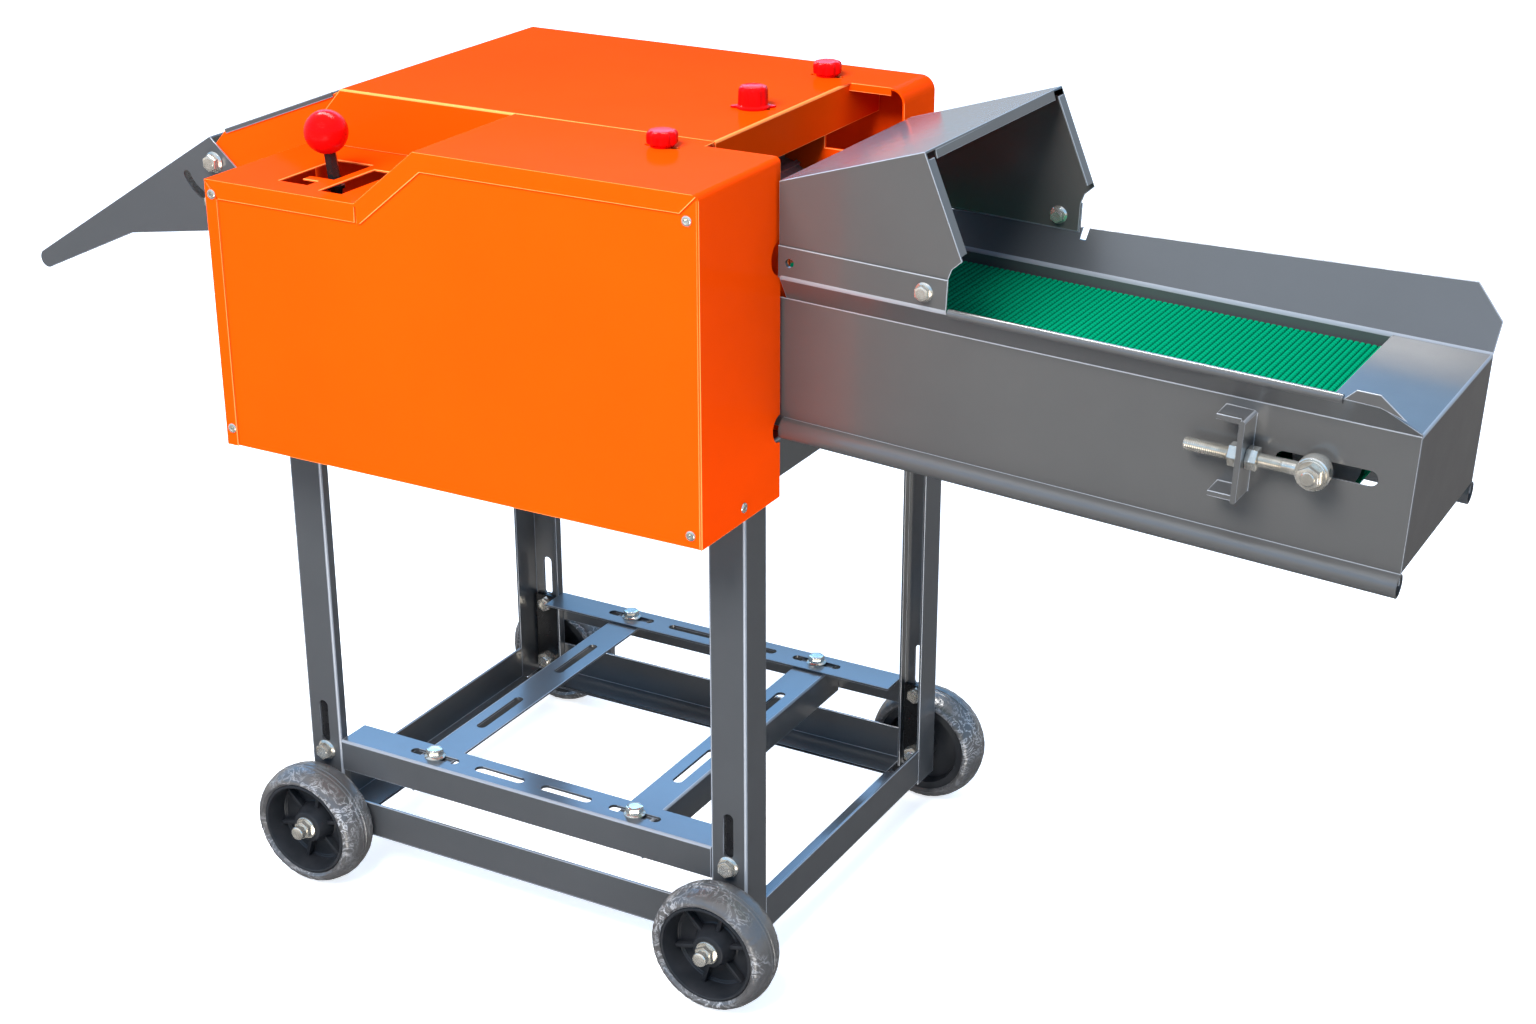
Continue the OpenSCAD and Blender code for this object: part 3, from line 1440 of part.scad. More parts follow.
module feed_hood() {
    top_lip = 8;
    corner = hood_lip + 6;
    rise_l = norm([mouth_u - hood_near, hood_top - hood_low]);
    width = hood_back_y + wall_t - hood_front_y;
    back_l = hood_l + hood_skew;
    place() color(grey) in_trough() {
        difference() {
            xz_plate(hood_front_y, wall_t) hood_side(tab_front_w + wall_t, tab_front_w, hood_l - 1, front_mouth);
            hood_holes(tab_front_w, hood_l, hood_front_y);
        }
        difference() {
            xz_plate(hood_back_y, wall_t) hood_side(tab_back_w + wall_t, tab_back_w, back_l - 1, back_mouth);
            hood_holes(tab_back_w, back_l, hood_back_y);
        }
        mouth_lip(front_mouth, hood_front_y);
        mouth_lip(back_mouth, hood_back_y - hood_lip);
        translate([hood_near, hood_front_y, hood_low]) rotate([0, -hood_rise_a, 0]) {
            translate([0, 0, -wall_t]) linear_extrude(wall_t) hood_top_sheet(0, 0, width, width, rise_l);
            translate([0, 0, -wall_t - top_lip]) linear_extrude(wall_t + top_lip)
                hood_top_sheet(-wall_t, corner, width - corner, width, rise_l);
        }
    }
}

// Clamp knobs and their studs

module stud(y) {
    translate([knob_x, y, carrier_z]) cylinder(d = stud_d, h = stud_top - carrier_z);
}

// Studs on carriers that reach out from the side plates, and on a cross bar between them
module cover_studs() {
    carrier_w = 20;
    reach_front = plate_front - knob_ys[0] + carrier_w / 2;
    reach_back = knob_ys[2] - plate_back + carrier_w / 2;
    place() color(zinc) {
        for (y = knob_ys) stud(y);
        translate([knob_x - carrier_w / 2, plate_front - reach_front, carrier_z - carrier_t])
            cube([carrier_w, reach_front, carrier_t]);
        translate([knob_x - carrier_w / 2, throat_front, carrier_z - carrier_t]) cube([carrier_w, throat_w, carrier_t]);
        translate([knob_x - carrier_w / 2, plate_back, carrier_z - carrier_t])
            cube([carrier_w, reach_back, carrier_t]);
    }
}

module knob_bore(h) {
    translate([0, 0, -1]) cylinder(d = stud_d + 2 * fit, h = h + 1);
}

// Star knob with eight scallops
module star_knob(y) {
    scallop_r = 4;
    place() color(red) translate([knob_x, y, deck_high + clear]) difference() {
        union() {
            cylinder(d = knob_d * 0.72, h = knob_h);
            translate([0, 0, knob_h * 0.25]) cylinder(d = knob_d, h = knob_h * 0.6);
            translate([0, 0, knob_h * 0.85]) cylinder(d1 = knob_d, d2 = knob_d * 0.8, h = knob_h * 0.15);
        }
        for (i = [0 : 7]) rotate(45 * i) translate([knob_d / 2 + scallop_r * 0.5, 0, -1])
            cylinder(r = scallop_r, h = knob_h + 2);
        knob_bore(stud_top - deck_high);
    }
}

module knob_front() {
    star_knob(knob_ys[0]);
}

// Tall cap with a skirt
module knob_middle() {
    skirt_d = knob_d * 1.1;
    skirt_h = 3;
    place() color(red) translate([knob_x, knob_ys[1], deck_high + clear]) difference() {
        union() {
            cylinder(d = skirt_d, h = skirt_h);
            translate([0, 0, skirt_h]) cylinder(d1 = knob_d, d2 = knob_d * 0.92, h = cap_h - skirt_h - 2);
            translate([0, 0, cap_h - 2]) cylinder(d1 = knob_d * 0.92, d2 = knob_d * 0.78, h = 2);
        }
        knob_bore(stud_top - deck_high);
    }
}

module knob_back() {
    star_knob(knob_ys[2]);
}

// One call for each node

leg(false, false);  // leg_front_left
leg(true, false);  // leg_front_right
leg(false, true);  // leg_back_left
leg(true, true);  // leg_back_right
lower_rails();
top_rails();
motor_rails();
motor_bars();
frame_bolts();
axle_plates();
axle_bolts();
wheel_hub(false, false);  // wheel_hub_front_left
wheel_hub(true, false);  // wheel_hub_front_right
wheel_hub(false, true);  // wheel_hub_back_left
wheel_hub(true, true);  // wheel_hub_back_right
tyre(false, false);  // tyre_front_left
tyre(true, false);  // tyre_front_right
tyre(false, true);  // tyre_back_left
tyre(true, true);  // tyre_back_right
front_side_plate();
back_side_plate();
rotor_pan();
shear_bar();
top_cover();
chute_roof();
deflector();
deflector_bolts();
cover_surround();
cover_panel();
cover_rivets();
lever_bracket();
shift_lever();
lever_ball();
main_shaft();
rotor_spiders();
knives();
drive_pulley();
drive_pinion();
shaft_bearings();
lower_feed_roller();
upper_feed_roller();
roller_bushes();
lower_roller_gears();
idler_gears();
upper_roller_gear();
small_drive_belt();
trough_front_wall();
trough_back_wall();
belt_bed();
end_cap();
conveyor_belt();
belt_drive_roller();
tail_roller();
belt_tensioner();
trough_fasteners();
feed_hood();
knob_front();
knob_middle();
knob_back();
cover_studs();
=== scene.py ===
"""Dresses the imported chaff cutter: soft sheet edges, wheels, belt, fasteners, paints and the studio."""

import json
import math

import bmesh
import bpy
from bpy.props import FloatProperty, FloatVectorProperty, IntProperty, PointerProperty
from bpy.types import Operator, Panel, PropertyGroup
from mathutils import Matrix, Vector, noise


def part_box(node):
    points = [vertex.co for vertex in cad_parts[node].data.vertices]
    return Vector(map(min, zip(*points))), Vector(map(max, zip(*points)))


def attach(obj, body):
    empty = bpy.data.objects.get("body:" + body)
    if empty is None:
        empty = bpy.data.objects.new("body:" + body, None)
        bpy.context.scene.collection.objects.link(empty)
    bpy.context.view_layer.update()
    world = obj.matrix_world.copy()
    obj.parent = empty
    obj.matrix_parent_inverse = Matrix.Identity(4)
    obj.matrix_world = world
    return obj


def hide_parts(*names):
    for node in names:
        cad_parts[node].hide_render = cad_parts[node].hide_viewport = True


bl_info = {
    "name": "Chaff cutter",
    "version": (1, 0, 0),
    "blender": (4, 5, 0),
    "location": "View3D > Sidebar > Chaff Cutter",
    "description": "Dresses the packed solids of a chaff cutter with soft edges, details and finishes",
    "category": "Object",
}

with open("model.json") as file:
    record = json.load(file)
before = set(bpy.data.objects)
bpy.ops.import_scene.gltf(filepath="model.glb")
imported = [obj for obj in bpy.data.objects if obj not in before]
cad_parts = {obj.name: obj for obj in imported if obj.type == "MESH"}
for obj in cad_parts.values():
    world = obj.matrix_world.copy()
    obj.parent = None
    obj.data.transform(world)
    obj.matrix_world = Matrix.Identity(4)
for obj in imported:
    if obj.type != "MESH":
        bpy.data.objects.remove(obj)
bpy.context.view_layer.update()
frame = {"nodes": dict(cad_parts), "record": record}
RECORD = frame["record"]
BODY_OF = {node: body for body, nodes in RECORD["behaviour"]["bodies"].items() for node in nodes}
SLOT_OF = {part["node"]: part["material_slot"] for part in RECORD["subparts"]}
JOINTS = RECORD["behaviour"]["joints"]
JOINT_AT = {joint["child"]: Vector(joint["pos_m"]) for joint in JOINTS if "pos_m" in joint}
MM = 0.001
WHITE = (1.0, 1.0, 1.0)

# What counts as a sharp edge, a flat seam, a broad face and a long cut edge
SHARP = math.radians(28)
FLAT = math.radians(0.6)
BROAD = 5.0 * MM
LONG_EDGE = 8.0 * MM

# How near corners have to be to be merged
CAD_MERGE = 0.01 * MM
ROUNDED_MERGE = 0.02 * MM
TURNED_MERGE = 0.002 * MM
BELT_MERGE = 0.05 * MM

# Facets across a rounded fold and a rounded cut edge
FOLD_SEGMENTS = 4
RIM_SEGMENTS = 2


# Sizes and colours that a user would change


class ChaffCutterSizes(PropertyGroup):
    """Rounding and pattern sizes of the dressed machine."""

    rim_round: FloatProperty(
        name="Cut edge", description="Rounding of cut edges of sheet and angle steel",
        default=0.7 * MM, unit="LENGTH")
    fold_round: FloatProperty(
        name="Fold", description="Rounding of folds between broad faces", default=2.4 * MM, unit="LENGTH")
    nub_rise: FloatProperty(
        name="Nub rise", description="Height of the belt's nubs", default=1.9 * MM, unit="LENGTH")
    hub_ribs: IntProperty(
        name="Hub ribs", description="Ribs of a wheel hub", default=6, min=3, max=12)


class ChaffCutterColours(PropertyGroup):
    """Base colours of the finishes, in linear light."""

    casing: FloatVectorProperty(
        name="Casing", description="Powder coat of the casing", subtype="COLOR",
        default=(0.80, 0.053, 0.001))
    stand: FloatVectorProperty(
        name="Stand", description="Powder coat of the stand, deflector and back wall", subtype="COLOR",
        default=(0.044, 0.0455, 0.048))
    # The trough front and hood are the stand's grey paint, warmer and brighter as painted warm light
    trough: FloatVectorProperty(
        name="Trough", description="Warmer powder coat of the trough front and hood", subtype="COLOR",
        default=(0.056, 0.0535, 0.0505))
    knob: FloatVectorProperty(
        name="Knobs", description="Plastic of the knobs and the lever ball", subtype="COLOR",
        default=(0.60, 0.002, 0.002))
    belt: FloatVectorProperty(
        name="Belt", description="Rough face of the conveyor belt", subtype="COLOR",
        default=(0.0005, 0.20, 0.092))
    tyre: FloatVectorProperty(
        name="Tyres", description="Grey rubber of the tyres", subtype="COLOR",
        default=(0.06, 0.056, 0.054))


# Mesh helpers


def joint_point(body):
    """The rest point of the joint that carries a body."""
    return JOINT_AT[body]


def finish_mesh(mesh_tool, name, material, smooth=True, sharp=SHARP):
    """Closes a bmesh into a new object at the origin, smooth but for its sharp edges."""
    bmesh.ops.recalc_face_normals(mesh_tool, faces=mesh_tool.faces)
    for face in mesh_tool.faces:
        face.smooth = smooth
    for edge in mesh_tool.edges:
        if len(edge.link_faces) == 2:
            edge.smooth = edge.calc_face_angle(0.0) < sharp
    mesh = bpy.data.meshes.new(name)
    mesh_tool.to_mesh(mesh)
    mesh_tool.free()
    piece = bpy.data.objects.new(name, mesh)
    bpy.context.scene.collection.objects.link(piece)
    piece.data.materials.append(bpy.data.materials[material])
    return piece


def mount_piece(piece, *nodes):
    """Rides a piece on the body of the nodes it stands for, and hides them."""
    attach(piece, BODY_OF[nodes[0]])
    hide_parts(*nodes)
    return piece


def merged_copy(node):
    """A CAD node's mesh with its loose triangles joined."""
    mesh_tool = bmesh.new()
    mesh_tool.from_mesh(frame["nodes"][node].data)
    bmesh.ops.remove_doubles(mesh_tool, verts=mesh_tool.verts, dist=CAD_MERGE)
    return mesh_tool


def broad(face):
    """Whether a face is much wider than the edge of a sheet."""
    return 2.0 * face.calc_area() / face.calc_perimeter() > BROAD


def sharp_edges(mesh_tool):
    """The edges where two faces meet at more than the sharp angle."""
    return [e for e in mesh_tool.edges if len(e.link_faces) == 2 and e.calc_face_angle(0.0) > SHARP]


def joined_runs(edges):
    """The edges in groups that meet at their ends, in the mesh's own order."""
    left = dict.fromkeys(edges)
    runs = []
    while left:
        run = [next(iter(left))]
        del left[run[0]]
        for edge in run:
            meeting = [other for vert in edge.verts for other in vert.link_edges if other in left]
            for other in dict.fromkeys(meeting):
                del left[other]
                run.append(other)
        runs.append(run)
    return runs


def round_edges(mesh_tool, edges, width, segments, clamp):
    """Rounds edges and marks the new faces, which get a painted highlight."""
    rounded = bmesh.ops.bevel(
        mesh_tool, geom=edges, offset=width, offset_type="OFFSET", segments=segments, profile=0.5,
        affect="EDGES", clamp_overlap=clamp, loop_slide=True, material=-1)
    mark = mesh_tool.faces.layers.float["edge"]
    for face in rounded["faces"]:
        face[mark] = 1.0


def soften(node, material, width, fold=0.0):
    """A copy of a CAD node with its flats joined, its folds bent and its longer cut edges rounded."""
    mesh_tool = merged_copy(node)
    # Marks the rounded faces that get the painted edge highlight
    mesh_tool.faces.layers.float.new("edge")
    bmesh.ops.dissolve_limit(
        mesh_tool, angle_limit=FLAT, use_dissolve_boundaries=False,
        verts=mesh_tool.verts, edges=mesh_tool.edges)
    if fold:
        outer = [e for e in sharp_edges(mesh_tool) if e.is_convex]
        bends = [e for e in outer if all(broad(face) for face in e.link_faces)]
        for run in joined_runs(bends):
            round_edges(mesh_tool, run, fold, FOLD_SEGMENTS, clamp=True)
    bmesh.ops.remove_doubles(mesh_tool, verts=mesh_tool.verts, dist=ROUNDED_MERGE)
    rims = [e for e in sharp_edges(mesh_tool) if e.calc_length() > LONG_EDGE]
    round_edges(mesh_tool, rims, width, RIM_SEGMENTS, clamp=False)
    piece = finish_mesh(mesh_tool, "soft_" + node, material)
    weighted = piece.modifiers.new("Even shading", "WEIGHTED_NORMAL")
    weighted.keep_sharp = True
    return mount_piece(piece, node)


def islands(node):
    """The lowest and highest corners of each separate solid in a CAD node."""
    mesh_tool = merged_copy(node)
    left = set(mesh_tool.verts)
    boxes = []
    while left:
        front = [left.pop()]
        corners = []
        while front:
            vert = front.pop()
            corners.append(vert.co.copy())
            for edge in vert.link_edges:
                other = edge.other_vert(vert)
                if other in left:
                    left.remove(other)
                    front.append(other)
        low = Vector([min(c[i] for c in corners) for i in range(3)])
        high = Vector([max(c[i] for c in corners) for i in range(3)])
        boxes.append((low, high))
    mesh_tool.free()
    return sorted(boxes, key=lambda b: tuple(round(v, 4) for v in b[0]))


def facing(at, direction):
    """A matrix that carries +Z at the origin to a direction at a point."""
    turn = Vector((0.0, 0.0, 1.0)).rotation_difference(Vector(direction))
    return Matrix.Translation(at) @ turn.to_matrix().to_4x4()


def add_turned(mesh_tool, profile, steps, place, closed=False):
    """Spins a profile of (radius, height) points in mm round +Z, then puts it in its place."""
    before = set(mesh_tool.verts)
    verts = [mesh_tool.verts.new((radius * MM, 0.0, height * MM)) for radius, height in profile]
    ends = list(zip(verts, verts[1:]))
    if closed:
        ends.append((verts[-1], verts[0]))
    edges = [mesh_tool.edges.new(pair) for pair in ends]
    bmesh.ops.spin(
        mesh_tool, geom=verts + edges, cent=(0, 0, 0), axis=(0, 0, 1), angle=math.tau, steps=steps,
        use_merge=True)
    made = [v for v in mesh_tool.verts if v not in before]
    bmesh.ops.remove_doubles(mesh_tool, verts=made, dist=TURNED_MERGE)
    made = [v for v in mesh_tool.verts if v not in before]
    bmesh.ops.transform(mesh_tool, matrix=place, verts=made)
    return made


def add_hexagon(mesh_tool, corner_r, base, height, chamfer, place):
    """A hexagon prism with its upper edge chamfered, from base to base + height along +Z."""
    middle = (base + height / 2) * MM
    shift = Matrix.Translation((0.0, 0.0, middle))
    made = bmesh.ops.create_cone(
        mesh_tool, cap_ends=True, segments=6, radius1=corner_r * MM, radius2=corner_r * MM,
        depth=height * MM, matrix=shift)["verts"]
    edges = {e for v in made for e in v.link_edges}
    top = [e for e in edges if all(v.co.z > middle for v in e.verts)]
    bevelled = bmesh.ops.bevel(
        mesh_tool, geom=top, offset=chamfer * MM, offset_type="OFFSET", segments=2, profile=0.5,
        affect="EDGES", clamp_overlap=True, material=-1)["verts"]
    every = {v for v in made if v.is_valid} | set(bevelled)
    bmesh.ops.transform(mesh_tool, matrix=place, verts=list(every))


def add_block(mesh_tool, low, high, place, rounding):
    """A block between two corners in mm, with rounded edges, put in its place."""
    size = Vector(high) - Vector(low)
    fit = Matrix.Translation((Vector(low) + size / 2) * MM) @ Matrix.Diagonal((*(size * MM), 1.0))
    cube = bmesh.ops.create_cube(mesh_tool, size=1.0, matrix=fit)["verts"]
    edges = list({e for v in cube for e in v.link_edges})
    made = bmesh.ops.bevel(
        mesh_tool, geom=edges, offset=rounding * MM, offset_type="OFFSET", segments=2, profile=0.5,
        affect="EDGES", clamp_overlap=True, material=-1)["verts"]
    bmesh.ops.transform(mesh_tool, matrix=place, verts=made)


# Finishes

# Sockets of a Mix node for colours, which share their names with its other kinds
MIX_FROM = 6
MIX_TO = 7
MIX_RESULT = 2


def rgba(colour, gain=1.0):
    """A colour with an alpha of one, brightened or dimmed by a gain."""
    return tuple(min(1.0, channel * gain) for channel in colour) + (1.0,)


def add_node(tree, kind, **settings):
    """A shader node with its properties and its unlinked inputs set by name."""
    made = tree.nodes.new(kind)
    for key, value in settings.items():
        if key in made.inputs:
            made.inputs[key].default_value = value
        else:
            setattr(made, key, value)
    return made


def new_group(name, inputs, outputs):
    """An empty shader node group with named sockets."""
    group = bpy.data.node_groups.new(name, "ShaderNodeTree")
    for label, kind, default in inputs:
        socket = group.interface.new_socket(label, in_out="INPUT", socket_type=kind)
        socket.default_value = default
    for label, kind in outputs:
        group.interface.new_socket(label, in_out="OUTPUT", socket_type=kind)
    return group, group.nodes.new("NodeGroupInput"), group.nodes.new("NodeGroupOutput")


def coat_grain_group():
    """Fine orange-peel height of a sprayed or moulded skin."""
    group, source, sink = new_group(
        "Coat grain", [("Scale", "NodeSocketFloat", 400.0)], [("Height", "NodeSocketFloat")])
    place = group.nodes.new("ShaderNodeTexCoord")
    fine = add_node(group, "ShaderNodeTexNoise", Detail=2.0, Roughness=0.55)
    group.links.new(place.outputs["Object"], fine.inputs["Vector"])
    group.links.new(source.outputs["Scale"], fine.inputs["Scale"])
    group.links.new(fine.outputs["Fac"], sink.inputs["Height"])
    return group


def tone_drift_group():
    """Slow change of a colour between two tones, with a mask for the roughness."""
    group, source, sink = new_group(
        "Tone drift",
        [("Tone", "NodeSocketColor", rgba(WHITE, 0.5)), ("Other tone", "NodeSocketColor", rgba(WHITE, 0.4)),
         ("Scale", "NodeSocketFloat", 6.0), ("Low", "NodeSocketFloat", 0.35),
         ("High", "NodeSocketFloat", 0.65)],
        [("Colour", "NodeSocketColor"), ("Mask", "NodeSocketFloat")])
    place = group.nodes.new("ShaderNodeTexCoord")
    cloud = add_node(group, "ShaderNodeTexNoise", Detail=4.0, Roughness=0.6)
    spread = group.nodes.new("ShaderNodeMapRange")
    blend = add_node(group, "ShaderNodeMix", data_type="RGBA")
    group.links.new(place.outputs["Object"], cloud.inputs["Vector"])
    group.links.new(source.outputs["Scale"], cloud.inputs["Scale"])
    group.links.new(cloud.outputs["Fac"], spread.inputs["Value"])
    group.links.new(source.outputs["Low"], spread.inputs["From Min"])
    group.links.new(source.outputs["High"], spread.inputs["From Max"])
    group.links.new(spread.outputs["Result"], blend.inputs["Factor"])
    group.links.new(source.outputs["Tone"], blend.inputs[MIX_FROM])
    group.links.new(source.outputs["Other tone"], blend.inputs[MIX_TO])
    group.links.new(blend.outputs[MIX_RESULT], sink.inputs["Colour"])
    group.links.new(spread.outputs["Result"], sink.inputs["Mask"])
    return group


def painted_edge_highlight_group():
    """A paler tone on rounded edges as a painted highlight, by the edge attribute of a softened mesh."""
    group, source, sink = new_group(
        "Painted edge highlight",
        [("Colour", "NodeSocketColor", rgba(WHITE, 0.5)), ("Highlight tone", "NodeSocketColor", rgba(WHITE, 0.8))],
        [("Colour", "NodeSocketColor")])
    edge = add_node(group, "ShaderNodeAttribute", attribute_name="edge")
    blend = add_node(group, "ShaderNodeMix", data_type="RGBA")
    group.links.new(edge.outputs["Fac"], blend.inputs["Factor"])
    group.links.new(source.outputs["Colour"], blend.inputs[MIX_FROM])
    group.links.new(source.outputs["Highlight tone"], blend.inputs[MIX_TO])
    group.links.new(blend.outputs[MIX_RESULT], sink.inputs["Colour"])
    return group


def place_group(tree, name, values):
    """A node group placed in a material with its own values."""
    made = tree.nodes.new("ShaderNodeGroup")
    made.node_tree = bpy.data.node_groups[name]
    for label, value in values.items():
        made.inputs[label].default_value = value
    return made


def new_material(name, values):
    """The node tree and the Principled shader of a new material, with the shader's inputs set."""
    material = bpy.data.materials.new(name)
    material.use_nodes = True
    shader = material.node_tree.nodes["Principled BSDF"]
    for label, value in values.items():
        shader.inputs[label].default_value = value
    return material.node_tree, shader


def finish(name, tone, other, drift, rough, grain, metallic=0.0, coat=0.0, coat_rough=0.1, specular=0.5,
           tint=WHITE, edge_highlight=None):
    """A material with drifting tone, roughness from the same drift, and grain as its bump.

    drift is (scale, low, high), rough is (least, most), grain is (scale, strength, depth in mm);
    the last argument is the paler tone painted on rounded edges as a highlight.
    """
    tree, shader = new_material(
        name, {"Metallic": metallic, "Coat Weight": coat, "Coat Roughness": coat_rough,
               "Specular IOR Level": specular, "Specular Tint": rgba(tint)})
    scale, low, high = drift
    tones = place_group(
        tree, "Tone drift", {"Tone": tone, "Other tone": other, "Scale": scale, "Low": low, "High": high})
    colour = tones.outputs["Colour"]
    # Painted highlight: a paler tone on the rounded edges
    if edge_highlight:
        paler = place_group(tree, "Painted edge highlight", {"Highlight tone": edge_highlight})
        tree.links.new(colour, paler.inputs["Colour"])
        colour = paler.outputs["Colour"]
    tree.links.new(colour, shader.inputs["Base Color"])
    least, most = rough
    gloss = add_node(tree, "ShaderNodeMapRange", **{"To Min": least, "To Max": most})
    tree.links.new(tones.outputs["Mask"], gloss.inputs["Value"])
    tree.links.new(gloss.outputs["Result"], shader.inputs["Roughness"])
    fineness, strength, depth = grain
    skin = place_group(tree, "Coat grain", {"Scale": fineness})
    bump = add_node(tree, "ShaderNodeBump", Strength=strength, Distance=depth * MM)
    tree.links.new(skin.outputs["Height"], bump.inputs["Height"])
    tree.links.new(bump.outputs["Normal"], shader.inputs["Normal"])


def wrapped_rubber(name, tone, crease_glint):
    """Dark rubber under a wrinkled clear skin, with a painted highlight as pale veins along its creases."""
    tree, shader = new_material(name, {"Roughness": 0.32, "Coat Weight": 0.9, "Coat Roughness": 0.10})
    place = tree.nodes.new("ShaderNodeTexCoord")
    cloud = add_node(tree, "ShaderNodeTexNoise", Scale=48.0, Detail=5.0, Roughness=0.6, Distortion=2.2)
    middle = add_node(tree, "ShaderNodeMath", operation="SUBTRACT")
    middle.inputs[1].default_value = 0.5
    fold = add_node(tree, "ShaderNodeMath", operation="ABSOLUTE")
    crease = add_node(tree, "ShaderNodeMapRange", **{"From Max": 0.04, "To Min": 1.0, "To Max": 0.0})
    # The pale tone is a painted highlight on the creases of the clear skin, in patches
    blend = add_node(tree, "ShaderNodeMix", data_type="RGBA")
    blend.inputs[MIX_FROM].default_value = tone
    blend.inputs[MIX_TO].default_value = crease_glint
    bump = add_node(tree, "ShaderNodeBump", Strength=0.55, Distance=1.4 * MM)
    tree.links.new(place.outputs["Object"], cloud.inputs["Vector"])
    tree.links.new(cloud.outputs["Fac"], middle.inputs[0])
    tree.links.new(middle.outputs[0], fold.inputs[0])
    tree.links.new(fold.outputs[0], crease.inputs["Value"])
    patch = add_node(tree, "ShaderNodeTexNoise", Scale=16.0, Detail=2.0)
    glint_patches = add_node(tree, "ShaderNodeMapRange", **{"From Min": 0.42, "From Max": 0.62})
    share = add_node(tree, "ShaderNodeMath", operation="MULTIPLY")
    tree.links.new(place.outputs["Object"], patch.inputs["Vector"])
    tree.links.new(patch.outputs["Fac"], glint_patches.inputs["Value"])
    tree.links.new(glint_patches.outputs["Result"], share.inputs[0])
    tree.links.new(crease.outputs["Result"], share.inputs[1])
    tree.links.new(share.outputs[0], blend.inputs["Factor"])
    tree.links.new(blend.outputs[MIX_RESULT], shader.inputs["Base Color"])
    tree.links.new(cloud.outputs["Fac"], bump.inputs["Height"])
    tree.links.new(bump.outputs["Normal"], shader.inputs["Normal"])
    tree.links.new(bump.outputs["Normal"], shader.inputs["Coat Normal"])


def nubbed_belt(name, top, valley_shade):
    """Belt rubber with painted shade between its nubs, by the nub attribute of the belt's mesh."""
    tree, shader = new_material(name, {"Specular IOR Level": 0.0})
    place = tree.nodes.new("ShaderNodeTexCoord")
    level = add_node(tree, "ShaderNodeAttribute", attribute_name="nub")
    spread = add_node(tree, "ShaderNodeMapRange", **{"From Min": 0.1, "From Max": 0.9})
    blend = add_node(tree, "ShaderNodeMix", data_type="RGBA")
    # The valley tone is painted shade between the nubs
    blend.inputs[MIX_FROM].default_value = valley_shade
    blend.inputs[MIX_TO].default_value = top
    wear = add_node(tree, "ShaderNodeTexNoise", Scale=130.0, Detail=3.0)
    gloss = add_node(tree, "ShaderNodeMapRange", **{"To Min": 0.42, "To Max": 0.68})
    bump = add_node(tree, "ShaderNodeBump", Strength=0.25, Distance=0.6 * MM)
    tree.links.new(level.outputs["Fac"], spread.inputs["Value"])
    tree.links.new(spread.outputs["Result"], blend.inputs["Factor"])
    tree.links.new(blend.outputs[MIX_RESULT], shader.inputs["Base Color"])
    tree.links.new(place.outputs["Object"], wear.inputs["Vector"])
    tree.links.new(wear.outputs["Fac"], gloss.inputs["Value"])
    tree.links.new(gloss.outputs["Result"], shader.inputs["Roughness"])
    tree.links.new(wear.outputs["Fac"], bump.inputs["Height"])
    tree.links.new(bump.outputs["Normal"], shader.inputs["Normal"])


